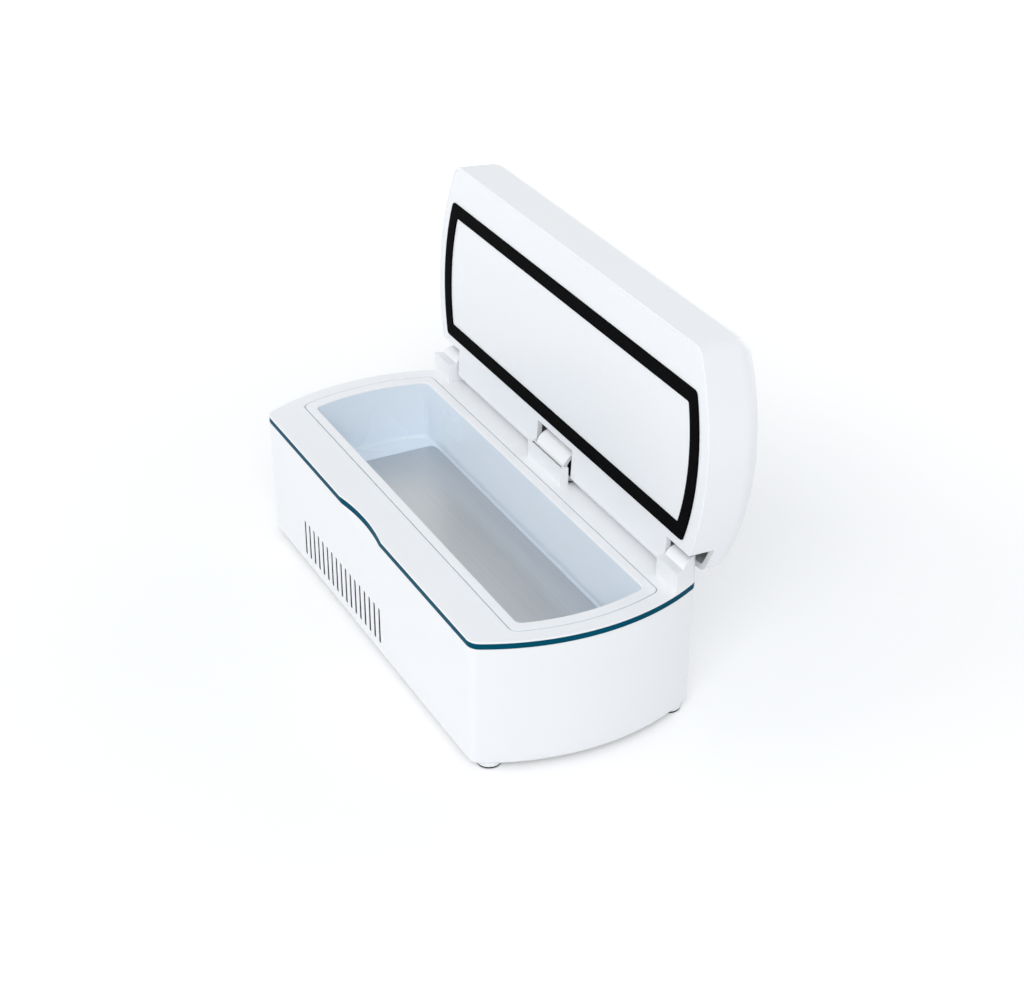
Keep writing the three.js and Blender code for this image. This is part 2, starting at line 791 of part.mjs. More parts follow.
// Screw with a flat head below and its shank up the axis from the origin
function screw(headRadius, headHeight, shankRadius, shankLength) {
  return turned([
    [0, -headHeight],
    [headRadius - headHeight / 4, -headHeight],
    [headRadius, -0.75 * headHeight],
    [headRadius, 0],
    [shankRadius, 0],
    [shankRadius, shankLength - shankRadius / 2],
    [shankRadius / 2, shankLength],
    [0, shankLength],
  ]);
}

// Fan frame: square with a round duct, hub plate on four struts at its foot
function fanFrame() {
  const frame = plate(roundedBox(fanSide, fanSide, 3), 0, fanThickness);
  const duct = rodZ(0, 0, fanBore, -1, fanThickness + 1, roundSides);
  const corners = fourCorners(fanHoleSpacing / 2, fanHoleSpacing / 2);
  const holes = corners.map(([x, y]) => rodZ(x, y, fanPinRadius + fit, -1, fanThickness + 1));
  const hub = rodZ(0, 0, fanHub, 0, fanPlate);
  const struts = [
    block(-fanBore - 1, fanBore + 1, -fanPlate, fanPlate, 0, fanPlate),
    block(-fanPlate, fanPlate, -fanBore - 1, fanBore + 1, 0, fanPlate),
  ];
  const spider = cut(join(hub, ...struts), rodZ(0, 0, fanShaft + fit, -1, fanPlate + 1));
  return join(cut(frame, duct, ...holes), spider);
}

// Rotor: round hub on a short shaft, with pitched blades
function fanRotor() {
  const bottom = fanPlate + fit;
  const top = fanThickness - fit;
  let body = join(rodZ(0, 0, fanHub, bottom, top), rodZ(0, 0, fanShaft, fit, bottom + 1));
  const tip = fanBore - 2 * fit;
  const root = fanHub - 1;
  for (let i = 0; i < bladeCount; i++) {
    const blade = new THREE.BoxGeometry(tip - root, bladeThickness, bladeChord);
    blade.rotateX(bladePitch).translate((tip + root) / 2, 0, (bottom + top) / 2);
    blade.rotateZ((2 * Math.PI * i) / bladeCount);
    body = join(body, solidOf(blade));
  }
  return body;
}

// Control board with its taller components, and a tongue that carries the power inlet
function controlBoard() {
  const jackHalf = jackWidth / 2 + 1;
  const points = [
    new THREE.Vector2(boardLeft, -boardHalfWidth),
    new THREE.Vector2(boardRight, -boardHalfWidth),
    new THREE.Vector2(boardRight, boardHalfWidth),
    new THREE.Vector2(jackX + jackHalf, boardHalfWidth),
    new THREE.Vector2(jackX + jackHalf, jackFront() - jackLength / 4),
    new THREE.Vector2(jackX - jackHalf, jackFront() - jackLength / 4),
    new THREE.Vector2(jackX - jackHalf, boardHalfWidth),
    new THREE.Vector2(boardLeft, boardHalfWidth),
  ];
  const root = boardTop - fit;
  const row = -boardHalfWidth / 2;
  const coilX = boardLeft + coilSide;
  const chipX = boardLeft + chipFromLeft;
  const chipY = -chipSide / 3;
  const plugX = boardRight - boardPost;
  const plugY = boardHalfWidth - plugFromSide;
  const half = coilSide / 2;
  return join(
    plate(points, boardBottom, boardTop),
    rodZ(boardRight - capacitorFromRight, row, capacitorRadius, root, boardTop + capacitorHeight),
    block(coilX - half, coilX + half, row - half, row + half, root, boardTop + coilHeight),
    block(chipX, chipX + chipSide, chipY, chipY + chipSide, root, boardTop + chipHeight),
    block(plugX - plugLength, plugX, plugY - plugWidth, plugY, root, boardTop + plugWidth),
  );
}

// Inside face of the back wall at the height of the power inlet
function jackFront() {
  const scale = 1 - (housingTaper * (bandBottom - boardTop)) / housingHeight;
  return (bodyWidth / 2 - housingWall) * scale - fit;
}

function dcJack() {
  const front = jackFront();
  const z = boardTop + jackHeight / 2;
  const half = jackWidth / 2;
  const nose = front + housingWall;
  const rear = front - jackLength;
  const body = block(jackX - half, jackX + half, rear, front, boardTop, boardTop + jackHeight);
  const shell = join(body, rodY(jackX, z, jackNose, front - 1, nose));
  const depth = 0.7 * jackLength;
  const socket = rodY(jackX, z, jackBore, nose - depth, nose + 1);
  return join(cut(shell, socket), rodY(jackX, z, jackPin, nose - depth - 1, nose - 1));
}

// Foot: a round pad, slightly narrower on the table
function foot() {
  const radius = footDiameter / 2;
  return turned([
    [0, 0],
    [radius - 0.6, 0],
    [radius, 0.6],
    [radius, footHeight],
    [0, footHeight],
  ]);
}

// Space swept by the hinge upstands inside the lid
function notches() {
  const back = bodyWidth;
  const low = deckTop - 1;
  const middle = barrelLength / 2 + runningGap + cheekThickness + notchGap;
  const saddleFront = saddleFrontY - notchGap;
  const towerFront = towerFrontY - notchGap;
  const end = towerInner - 2 * notchGap;
  const top = hingeZ + towerRadius + notchGap;
  return [
    block(-middle, middle, saddleFront, back, low, hingeZ + barrelRadius + notchGap),
    block(end, bodyLength, towerFront, back, low, top),
    block(-bodyLength, -end, towerFront, back, low, top),
  ];
}

// Lower back edge of the lid, rounded about the hinge line so that it clears the deck as it turns
function heel() {
  const reach = bodyLength;
  const corner = block(-reach, reach, hingeY, bodyWidth, deckTop - 1, hingeZ);
  return cut(corner, rodX(hingeY, hingeZ, lidHeelRadius, -reach - 1, reach + 1, roundSides));
}

// Heights and insets of a lid wall that leans in a little and rounds over at the top
function domeLevels(bottom, top, radius, steps) {
  const shoulder = top - radius;
  const levels = [[bottom, 0]];
  for (let i = 0; i <= steps; i++) {
    const angle = (Math.PI / 2) * (i / steps);
    levels.push([shoulder + radius * Math.sin(angle), lidDraft + radius * (1 - Math.cos(angle))]);
  }
  return levels;
}

// Lid shell: rounded cover with hinge barrel, pin bosses, board stakes, window recess and button hole
function lidShell() {
  const outside = solidOf(stacked(bodyOutline(0), domeLevels(lidEdge, lidTop, lidEdgeRadius, 5)));
  const pocket = plate(bodyOutline(lidRim), lidEdge - 1, panelTop + fit);
  const insideRadius = lidEdgeRadius - lidWall;
  const cavity = solidOf(stacked(bodyOutline(lidWall), domeLevels(panelTop, lidCeiling, insideRadius, 3)));
  let shell = cut(outside, pocket, cavity, heel(), ...notches());

  const half = barrelLength / 2;
  const webBack = bodyWidth / 2 - lidDraft - fit;
  const parts = [
    rodX(hingeY, hingeZ, barrelRadius, -half, half, roundSides),
    block(-half, half, hingeY - lidWall, webBack, hingeZ, hingeZ + barrelRadius + 2 * lidWall),
  ];
  const bossEnd = towerInner - 2 * notchGap;
  parts.push(rodX(hingeY, hingeZ, bossRadius, bossEnd - bossLength, bossEnd));
  parts.push(rodX(hingeY, hingeZ, bossRadius, -bossEnd, bossLength - bossEnd));
  for (const [x, y] of stakes()) {
    parts.push(rodZ(x, y, 2 * stakeRadius, lidBoardTop + fit, lidCeiling + fit));
    parts.push(rodZ(x, y, stakeRadius, lidBoardBottom, lidCeiling));
  }
  shell = join(shell, ...parts);

  const bores = [rodX(hingeY, hingeZ, barrelBore, -half - 1, half + 1)];
  bores.push(rodX(hingeY, hingeZ, pinRadius + runningGap, bossEnd - bossLength - 1, bossEnd + 1));
  bores.push(rodX(hingeY, hingeZ, pinRadius + runningGap, -bossEnd - 1, bossLength - bossEnd + 1));
  bores.push(windowPlate(fit, lidTop - windowThickness - fit, lidTop + 1));
  bores.push(windowPlate(-windowBorder, lidCeiling - 1, lidTop));
  bores.push(rodZ(buttonX, 0, buttonRadius + runningGap, lidCeiling - 1, lidTop + 1, roundSides));
  return cut(shell, ...bores);
}

function stakes() {
  const reach = 4 * stakeRadius;
  const corners = fourCorners(lidBoardLength / 2 - reach, lidBoardWidth / 2 - reach);
  return corners.map(([x, y]) => [lidBoardX + x, y]);
}

function windowPlate(growth, z0, z1) {
  const corner = Math.max(windowCorner + growth, 1);
  const outline = roundedBox(windowLength + 2 * growth, windowWidth + 2 * growth, corner);
  return plate(shifted(outline, windowX, 0), z0, z1);
}

// Lid inner panel: flat face with the gasket's groove, magnet cups behind it
function lidInnerPanel() {
  const panel = plate(bodyOutline(lidRim + fit), lidEdge, panelTop);
  const cups = [];
  const holes = [];
  const cupTop = panelTop + magnetThickness;
  for (const x of [-magnetX, magnetX]) {
    cups.push(rodZ(x, -magnetY, magnetRadius + fit + cupWall, panelTop - fit, cupTop));
    holes.push(rodZ(x, -magnetY, magnetRadius + fit, panelTop, cupTop + 1));
  }
  const groove = gasketRing(fit, lidEdge - 1, lidEdge + gasketGroove);
  const bossEnd = towerInner - 2 * notchGap;
  const room = bossRadius + fit;
  const reliefs = [
    rodX(hingeY, hingeZ, room, bossEnd - bossLength - fit, bossEnd + 1),
    rodX(hingeY, hingeZ, room, -bossEnd - 1, bossLength - bossEnd + fit),
  ];
  return cut(join(panel, ...cups), ...holes, groove, ...reliefs, heel(), ...notches());
}

function gasketRing(growth, z0, z1) {
  const outer = bulged(gasketLength + 2 * growth, gasketWidth + 2 * growth, gasketCorner + growth);
  const shrink = 2 * (gasketBand + growth);
  const inner = bulged(gasketLength - shrink, gasketWidth - shrink, 1);
  return cut(plate(outer, z0, z1), plate(inner, z0 - 1, z1 + 1));
}

// Gasket: flat soft strip with its free edges eased
function lidGasket() {
  const ease = gasketProud / 3;
  const face = gasketFace;
  const top = lidEdge + gasketGroove - fit;
  const outer = bulged(gasketLength, gasketWidth, gasketCorner);
  const inner = bulged(gasketLength - 2 * gasketBand, gasketWidth - 2 * gasketBand, 1);
  const outside = [
    [face, ease],
    [face + ease, 0],
    [top, 0],
  ];
  const inside = [
    [face - ease, -2 * ease],
    [face + ease, 0],
    [top + 1, 0],
  ];
  return cut(solidOf(stacked(outer, outside)), solidOf(stacked(inner, inside)));
}

function lidFoam() {
  const outline = bulged(bodyLength - 2 * lidFoamMargin, bodyWidth - 2 * lidFoamMargin, gasketCorner);
  return plate(outline, panelTop + fit, lidBoardBottom - fit);
}

function lidBoard() {
  const outline = shifted(roundedBox(lidBoardLength, lidBoardWidth, 1), lidBoardX, 0);
  const bore = stakeRadius + fit;
  const holes = stakes().map(([x, y]) => rodZ(x, y, bore, lidBoardBottom - 1, lidBoardTop + 1));
  return cut(plate(outline, lidBoardBottom, lidBoardTop), ...holes);
}

function displayModule() {
  const x = windowLength / 2 - windowBorder / 2;
  const y = windowWidth / 2 - windowBorder / 2;
  return block(windowX - x, windowX + x, -y, y, lidBoardTop + fit, displayTop);
}

// Button: round cap held by a flange under the lid, drawn down from the lid's top
function powerButton() {
  const flangeTop = -lidWall - fit;
  const flangeBottom = flangeTop - buttonFlangeThickness;
  const flangeRadius = buttonRadius + buttonFlange;
  return turned([
    [0, flangeBottom - buttonStem],
    [buttonRadius / 3, flangeBottom - buttonStem],
    [buttonRadius / 3, flangeBottom],
    [flangeRadius, flangeBottom],
    [flangeRadius, flangeTop],
    [buttonRadius, flangeTop],
    [buttonRadius, buttonProud - 0.4],
    [buttonRadius - 0.4, buttonProud],
    [0, buttonProud],
  ], roundSides);
}

// Switch on the lid board, just clear of the button's stem at the end of its travel
function tactSwitch() {
  const half = switchSide / 2;
  const stemBottom = lidTop - lidWall - fit - buttonFlangeThickness - buttonStem;
  const top = stemBottom - buttonTravel - fit;
  const base = lidBoardTop + fit;
  const shoulder = (base + top) / 2;
  const body = block(buttonX - half, buttonX + half, -half, half, base, shoulder);
  return join(body, rodZ(buttonX, 0, half / 2, base, top));
}

function disc(radius, thickness) {
  return rodZ(0, 0, radius, 0, thickness);
}

add(coolingCase, "lower_housing", lowerHousing(), white);
add(coolingCase, "trim_band", trimBand(), teal);
add(coolingCase, "top_deck", topDeck(), white);
add(coolingCase, "chamber_liner", chamberLiner(), paleWhite);
add(coolingCase, "insulation_foam", insulationFoam(), foamGrey);
add(coolingCase, "cold_plate", coldPlate(), aluminium);
add(coolingCase, "peltier_module", peltierModule(), ceramic);
add(coolingCase, "heat_sink", heatSink(), aluminium);
const sinkScrew = screw(smallHeadRadius, smallHeadHeight, smallScrewRadius, trayFloor - sinkTop + sinkBase);
sinkScrewPlaces.forEach((x, i) => {
  add(coolingCase, `sink_screw_${i + 1}`, sinkScrew, steel, [x, 0, sinkTop - sinkBase]);
});
add(coolingCase, "fan_frame", fanFrame(), darkGrey, [slotCentre, 0, floorTop]);
add(rotor, "fan_rotor", fanRotor(), darkGrey);
add(coolingCase, "battery_pack", batterySolid(0), cellBlue);
add(coolingCase, "control_board", controlBoard(), boardGreen);
add(coolingCase, "dc_jack", dcJack(), darkGrey);
add(coolingCase, "temperature_sensor", sensorBox(0), darkGrey);
const footPlaces = fourCorners(bodyLength / 2 - footFromEnd, bodyWidth / 2 - footFromSide);
const cornerNames = ["front_left", "front_right", "back_right", "back_left"];
footPlaces.forEach(([x, y], i) => {
  add(coolingCase, `foot_${cornerNames[i]}`, foot(), darkGrey, [x, y, 0]);
});
const caseScrew = screw(caseHeadRadius, caseHeadHeight, caseScrewRadius, columnWeb + caseScrewBite);
fourCorners(columnX, columnY).forEach(([x, y], i) => {
  add(coolingCase, `case_screw_${cornerNames[i]}`, caseScrew, steel, [x, y, columnTop - columnWeb]);
});
const pinLength = pinInTower + 2 * notchGap + bossLength;
const pin = rodX(0, 0, pinRadius, -pinLength / 2, pinLength / 2);
const pinX = towerInner + pinInTower - pinLength / 2;
add(coolingCase, "hinge_pin_left", pin, steel, [-pinX, hingeY, hingeZ]);
add(coolingCase, "hinge_pin_right", pin, steel, [pinX, hingeY, hingeZ]);
const magnet = disc(magnetRadius, magnetThickness - fit);
const deckMagnetZ = bandBottom - magnetThickness + fit;
add(coolingCase, "deck_magnet_left", magnet, steel, [-magnetX, -magnetY, deckMagnetZ]);
add(coolingCase, "deck_magnet_right", magnet, steel, [magnetX, -magnetY, deckMagnetZ]);

addToLid("lid_shell", lidShell(), white);
addToLid("lid_inner_panel", lidInnerPanel(), white);
addToLid("lid_gasket", lidGasket(), black);
addToLid("lid_foam", lidFoam(), foamGrey);
addToLid("display_window", windowPlate(0, lidTop - windowThickness, lidTop), smoked);
addToLid("display_module", displayModule(), displayGrey);
addToLid("lid_board", lidBoard(), boardGreen);
addToLid("tact_switch", tactSwitch(), darkGrey);
const lidMagnetPlace = [-hingeY - magnetY, panelTop + fit - hingeZ];
add(lid, "lid_magnet_left", magnet, steel, [-magnetX, ...lidMagnetPlace]);
add(lid, "lid_magnet_right", magnet, steel, [magnetX, ...lidMagnetPlace]);
add(button, "power_button", powerButton(), silver);

export default coolingCase;
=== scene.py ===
"""Smooth outer pieces, finishes, light and camera for a cooling case, over its packed solids."""

import json
import math

import bmesh
import bpy
from bpy.props import FloatProperty, FloatVectorProperty, IntProperty, PointerProperty
from mathutils import Matrix, Vector


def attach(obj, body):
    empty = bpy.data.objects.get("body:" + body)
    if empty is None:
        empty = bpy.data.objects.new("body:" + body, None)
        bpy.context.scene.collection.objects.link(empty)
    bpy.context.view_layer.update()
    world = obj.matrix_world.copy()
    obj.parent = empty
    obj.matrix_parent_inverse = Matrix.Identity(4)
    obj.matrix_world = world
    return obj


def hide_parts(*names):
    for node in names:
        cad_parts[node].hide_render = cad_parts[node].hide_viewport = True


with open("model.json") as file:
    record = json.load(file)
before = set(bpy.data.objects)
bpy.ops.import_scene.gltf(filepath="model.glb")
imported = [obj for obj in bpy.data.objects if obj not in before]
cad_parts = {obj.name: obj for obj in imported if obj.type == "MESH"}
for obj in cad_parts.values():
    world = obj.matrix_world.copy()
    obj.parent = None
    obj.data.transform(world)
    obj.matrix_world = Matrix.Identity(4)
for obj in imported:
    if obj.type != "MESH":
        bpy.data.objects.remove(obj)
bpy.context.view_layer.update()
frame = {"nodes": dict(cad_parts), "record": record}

bl_info = {
    "name": "Cooling Case",
    "version": (1, 0, 0),
    "blender": (4, 5, 0),
    "location": "3D View > Sidebar > Cooling Case",
    "description": "Builds the moulded pieces of a cooling case over its packed solids",
    "category": "Add Mesh",
}

ORIGIN = (0, 0, 0)
ALONG_X = (1, 0, 0)
CORNER_STEPS = 10
END_STEPS = 30
ROUND_STEPS = 64
SMALL_ROUND_STEPS = 48
SMOOTH_ANGLE = math.radians(30)
CRISP_ANGLE = math.radians(40)
MERGE = 1e-7  # vertices nearer to each other than this are one
LEVEL = 1e-6  # heights nearer to each other than this are one
HAIR = 0.00005  # play that keeps two moulded faces from lying in one plane
SLIP = 0.0003  # room round a piece that drops into its place
PAST = 0.001  # how far a cutter reaches past what it cuts
ROOT = 0.0002  # height above the band at which the hinge's upstands begin
LEAST_CORNER = 0.001
# On the white mouldings the second colour is painted shade.
INSIDE = "inside"  # attribute of faces that take a finish's second colour

LAMPS = {  # place and power
    "key": ((1.0, -0.65, 1.0), 8.8),
    "fill": ((-0.5, -1.1, 0.6), 3.6),
    "back": ((-0.35, 1.2, 0.3), 3.8),
}
LAMP_SIDE = 1.0
LAMP_AIM = Vector((0, 0, 0.04))
SKY = {"Color": (0.935, 0.965, 1, 1), "Strength": 0.63}
SEEN_SKY = {"Color": (1, 1, 1, 1), "Strength": 1}
TABLE_HALF = 6
TABLE_PAINT = (0.9, 0.9, 0.9, 1)
TABLE_GLOW = {"From Min": 0.08, "From Max": 0.9, "To Min": 0.14, "To Max": 0.8}
CAMERA_PLACE = (0.60864, -0.29244, 0.43642)
CAMERA_AXES = (  # right, up and back
    (0.45426, 0.89087, 0),
    (-0.44229, 0.22553, 0.86805),
    (0.77332, -0.39432, 0.49647),
)
CAMERA_LENS = 75.74
CAMERA_SENSOR = 36
CAMERA_NEAR = 0.01


def size(name, default, description):
    return FloatProperty(
        name=name,
        description=description,
        default=default,
        precision=5,
        subtype="DISTANCE",
        unit="LENGTH",
    )


def turn(name, degrees, description):
    return FloatProperty(
        name=name,
        description=description,
        default=math.radians(degrees),
        subtype="ANGLE",
        unit="ROTATION",
    )


def number(name, default, description):
    return IntProperty(name=name, description=description, default=default, min=1)


def colour(name, default, description):
    return FloatVectorProperty(
        name=name, description=description, default=default, size=3, min=0, max=1, subtype="COLOR"
    )


class BodySizes(bpy.types.PropertyGroup):
    """Housing, band and deck"""

    length: size("Length", 0.2, "Length of the case over its bulged ends")
    width: size("Width", 0.085, "Width of the case over its straight sides")
    end_radius: size("End Radius", 0.0868, "Radius of the bulge of each end")
    corner: size("Corner Radius", 0.005, "Radius between a side and an end")
    foot_height: size("Foot Height", 0.002, "Height of the feet under the housing")
    housing_top: size("Housing Top", 0.04875, "Height of the housing's rim above the table")
    wall: size("Wall", 0.002, "Thickness of the housing's walls and floor")
    taper: FloatProperty(
        name="Taper", description="Share of the plan lost from rim to foot", default=0.0125
    )
    bottom_edge: size("Bottom Edge", 0.0012, "Rounding round the underside")
    band_height: size("Band Height", 0.0021, "Height of the coloured band")
    deck_lip: size("Deck Lip", 0.0006, "Height of the deck's edge above the band")
    deck_edge: size("Deck Edge", 0.0003, "Rounding of the deck's upper edge")
    scoop_length: size("Scoop Length", 0.0354, "Length of the thumb scoop at the band")
    scoop_depth: size("Scoop Depth", 0.00165, "Depth of the thumb scoop at the band")
    scoop_lean: turn("Scoop Lean", 10, "Slope with which the scoop runs out down the front")
    scoop_run: size("Scoop Run", 0.014, "Reach of the scoop's tool below the band")
    foot_diameter: size("Foot Diameter", 0.0084, "Diameter of a foot")
    pad_height: size("Pad Height", 0.0007, "Thickness of the dark pad under a foot's white boss")
    foot_from_end: size("Foot From End", 0.0136, "End of the case to the middle of a foot")
    foot_from_side: size("Foot From Side", 0.0077, "Side of the case to the middle of a foot")
    column_from_end: size("Screw From End", 0.022, "End of the case to a screw underneath")
    column_from_side: size("Screw From Side", 0.0095, "Side of the case to a screw underneath")
    column_radius: size("Column Radius", 0.0045, "Radius of a screw column inside the housing")
    screw_well: size("Screw Well", 0.0032, "Radius of the well that sinks a screw's head")

    @property
    def band_top(self):
        return self.housing_top + self.band_height

    @property
    def deck_top(self):
        return self.band_top + self.deck_lip

    def taper_at(self, z):
        """Share of the plan that is left at a height."""
        return 1 - self.taper * (self.housing_top - z) / (self.housing_top - self.foot_height)

    def half_less(self, from_end, from_side):
        """Half length and half width, less a margin."""
        return self.length / 2 - from_end, self.width / 2 - from_side

    def corners(self, from_end, from_side):
        """Four like places on the table, by their corner."""
        x, y = self.half_less(from_end, from_side)
        spots = (-x, -y, 0), (x, -y, 0), (x, y, 0), (-x, y, 0)
        return dict(zip(("front_left", "front_right", "back_right", "back_left"), spots))

    def foot_places(self):
        return self.corners(self.foot_from_end, self.foot_from_side)

    def screw_places(self):
        return self.corners(self.column_from_end, self.column_from_side)


class VentSizes(bpy.types.PropertyGroup):
    """Vent slots, fan intake and power inlet"""

    slots: number("Slots", 17, "Number of slots in the front and in the back")
    pitch: size("Pitch", 0.0043, "Spacing of the slots")
    width: size("Slot Width", 0.0015, "Width of a slot")
    height: size("Slot Height", 0.0147, "Height of a slot")
    bottom: size("Slot Bottom", 0.0064, "Height of the slots' lower ends above the table")
    ease: size("Slot Ease", 0.00018, "Chamfer round the mouth of a slot")
    from_end: size("From End", 0.121, "Right end of the case to the middle of slots and fan")
    intake_radius: size("Intake Radius", 0.019, "Radius of the fan's intake in the underside")
    intake_pitch: size("Intake Pitch", 0.0046, "Spacing of the intake's bars")
    intake_width: size("Intake Gap", 0.0024, "Gap between the intake's bars")
    inlet_x: size("Inlet Place", 0.063, "Place of the power inlet along the back")
    inlet_z: size("Inlet Height", 0.0151, "Height of the power inlet's middle above the table")
    inlet_radius: size("Inlet Radius", 0.0039, "Outer radius of the power inlet's nose")
    inlet_bore: size("Inlet Bore", 0.00275, "Bore of the power inlet")
    inlet_pin: size("Inlet Pin", 0.00095, "Radius of the power inlet's pin")

    @property
    def middle(self):
        """Middle of the slots and of the fan along the case."""
        return bpy.context.scene.case_body.length / 2 - self.from_end


class ChamberSizes(bpy.types.PropertyGroup):
    """Tray of the chamber and its metal floor"""

    from_end: size("From End", 0.0109, "End of the case to the chamber")
    from_side: size("From Side", 0.01885, "Side of the case to the chamber")
    depth: size("Depth", 0.0225, "Deck to the chamber's floor plate")
    corner: size("Corner", 0.003, "Radius of the chamber's upright corners")
    draft: size("Draft", 0.0005, "Lean of the chamber's walls over its depth")
    wall: size("Wall", 0.0012, "Thickness of the tray")
    lip: size("Lip", 0.0005, "Rounding of the chamber's mouth")
    cove: size("Cove", 0.0014, "Rounding between the chamber's walls and floor")
    flange_end: size("End Flange", 0.0046, "Width of the tray's flange at its ends")
    flange_side: size("Side Flange", 0.0036, "Width of the tray's flange along its sides")
    flange_thickness: size("Flange Thickness", 0.0012, "Thickness of the tray's flange")
    seam: size("Seam", 0.00045, "Width of the seam between flange and deck")
    plate_thickness: size("Plate Thickness", 0.0015, "Thickness of the floor plate")
    plate_end_gap: size("Plate End Gap", 0.0141, "Chamber's end to the floor plate")
    plate_side_gap: size("Plate Side Gap", 0.00215, "Chamber's side to the floor plate")


class HingeSizes(bpy.types.PropertyGroup):
    """Hinge line, saddle and end towers"""

    from_back: size("From Back", 0.0033, "Back of the case to the hinge line")
    above_deck: size("Above Deck", 0.00523, "Deck to the hinge line")
    open_angle: turn("Open Angle", 93.2, "Angle from shut to open against the stop")
    barrel_radius: size("Barrel Radius", 0.0062, "Radius of the lid's middle barrel")
    barrel_length: size("Barrel Length", 0.0226, "Length of the lid's middle barrel")
    barrel_bore: size("Barrel Bore", 0.0044, "Bore of the lid's middle barrel")
    barrel_play: size("Barrel Play", 0.0008, "Length taken off each end of the barrel")
    play: size("Play", 0.00035, "Clearance round what turns")
    saddle_reach: size("Saddle Reach", 0.0082, "Hinge line to the front of the saddle")
    saddle_wall: size("Saddle Wall", 0.001, "Thickness of the saddle's front wall")
    seam_width: size("Seam Width", 0.0004, "Width of the seam behind the saddle's front wall")
    seam_depth: size("Seam Depth", 0.0018, "Depth of the seam behind the saddle's front wall")
    seam_lean: turn("Seam Lean", 51.5, "Slope of the seam down towards the hinge line")
    cheek_back: size("Cheek Back", 0.0049, "Hinge line to the back of the saddle's cheeks")
    saddle_height: size("Saddle Height", 0.00715, "Height of the saddle above the deck")
    cheek: size("Cheek", 0.00105, "Thickness of the saddle's cheeks")
    tower_from_end: size("Tower From End", 0.0193, "End of the case to the inner face of a tower")
    tower_reach: size("Tower Reach", 0.0079, "Hinge line to the front of a tower")
    tower_radius: size("Tower Radius", 0.0053, "Radius of a tower's round top")
    tower_step: size("Tower Step", 0.00775, "Height of a tower's front step above the deck")
    notch_gap: size("Notch Gap", 0.0005, "Clearance between the lid's notches and the hinge")
    saddle_gap: size("Saddle Gap", 0.0006, "Clearance of the lid's middle notch")
    boss_radius: size("Boss Radius", 0.0031, "Radius of the lid's pin bosses")
    boss_length: size("Boss Length", 0.01, "Length of the lid's pin bosses")
    pin_radius: size("Pin Radius", 0.0015, "Radius of a hinge pin")
    heel_radius: size("Heel Radius", 0.0049, "Rounding of the lid's lower back edge")

    @property
    def seat(self):
        """Half the length of the barrel's seat."""
        return self.barrel_length / 2 + self.play


class LidSizes(bpy.types.PropertyGroup):
    """Lid, gasket, window and button"""

    gap: size("Gap", 0.00095, "Deck to the lid's rim when shut")
    height: size("Height", 0.0231, "Height of the lid above its rim")
    edge_radius: size("Edge Radius", 0.009, "Rounding round the lid's top")
    draft: size("Draft", 0.0004, "Lean of the lid's walls")
    wall: size("Wall", 0.0022, "Thickness of the lid")
    rim: size("Rim", 0.0012, "Width of the lid's rim round the inner panel")
    panel: size("Panel", 0.002, "Thickness of the inner panel")
    gasket_from_end: size("Gasket From End", 0.0056, "End of the lid to the gasket")
    gasket_from_side: size("Gasket From Side", 0.01505, "Side of the lid to the gasket")
    gasket_band: size("Gasket Band", 0.0053, "Width of the gasket's strip")
    gasket_proud: size("Gasket Proud", 0.0006, "How far the gasket stands out of the panel")
    gasket_groove: size("Gasket Groove", 0.0009, "Depth of the gasket's groove")
    gasket_corner: size("Gasket Corner", 0.002, "Outer corner radius of the gasket")
    window_x: size("Window Place", -0.014, "Middle of the display window along the lid")
    window_length: size("Window Length", 0.052, "Length of the display window")
    window_width: size("Window Width", 0.024, "Width of the display window")
    window_corner: size("Window Corner", 0.003, "Corner radius of the display window")
    window_thickness: size("Window Thickness", 0.0012, "Thickness of the display window")
    window_border: size("Window Border", 0.003, "Ledge on which the display window lies")
    button_x: size("Button Place", 0.034, "Middle of the button along the lid")
    button_radius: size("Button Radius", 0.0065, "Radius of the button's cap")
    button_proud: size("Button Proud", 0.0009, "How far the button stands out of the lid")


class Finishes(bpy.types.PropertyGroup):
    """Colours of the mouldings, and the painted shade that shows between them"""

    white: colour("White", (0.89, 0.9, 0.915), "Housing, deck and lid")
    # Painted shade: the dark that the vent slots, the saddle's seam and the hinge's trough and bore
    # take for their shade.
    inside: colour("Inside", (0.075, 0.072, 0.082), "Inside the vent slots and the saddle's seam")
    # Partly the tray's own pale tint, partly painted cool shade on the chamber's walls.
    liner_with_cool_shade: colour("Liner", (0.78, 0.85, 0.92), "Tray of the chamber")
    teal: colour("Teal", (0.0, 0.073, 0.124), "Band round the case")
    gasket: colour("Gasket", (0.002, 0.002, 0.0025), "Soft strip in the lid")
    rubber: colour("Rubber", (0.018, 0.018, 0.02), "Feet")
    foam: colour("Foam", (0.68, 0.69, 0.7), "Insulation")
    metal: colour("Aluminium", (0.56, 0.58, 0.6), "Floor plate and heat sink")
    steel: colour("Steel", (0.44, 0.45, 0.47), "Screws, pins and magnets")
    ceramic: colour("Ceramic", (0.8, 0.78, 0.72), "Cooling module")
    board: colour("Board", (0.012, 0.1, 0.04), "Circuit boards")
    dark: colour("Dark Grey", (0.022, 0.024, 0.027), "Fan, switch and power inlet")
    wrap: colour("Wrap", (0.02, 0.085, 0.32), "Sleeve of the battery")
    window: colour("Window", (0.006, 0.008, 0.011), "Smoked display window")
    panel: colour("Display", (0.2, 0.25, 0.21), "Display behind the window")
    button: colour("Button", (0.58, 0.61, 0.64), "Cap of the button")


def case_sizes():
    """Body, hinge and lid sizes of the scene."""
    scene = bpy.context.scene
    return scene.case_body, scene.case_hinge, scene.case_lid


def hinge_line():
    """Point on the hinge line at the middle of the case."""
    body, hinge, _ = case_sizes()
    return Vector((0, body.width / 2 - hinge.from_back, body.deck_top + hinge.above_deck))


def shift(bm, offset, verts=None):
    bmesh.ops.translate(bm, vec=offset, verts=bm.verts if verts is None else verts)


def stretch(bm, factors, verts=None):
    bmesh.ops.scale(bm, vec=factors, verts=bm.verts if verts is None else verts)


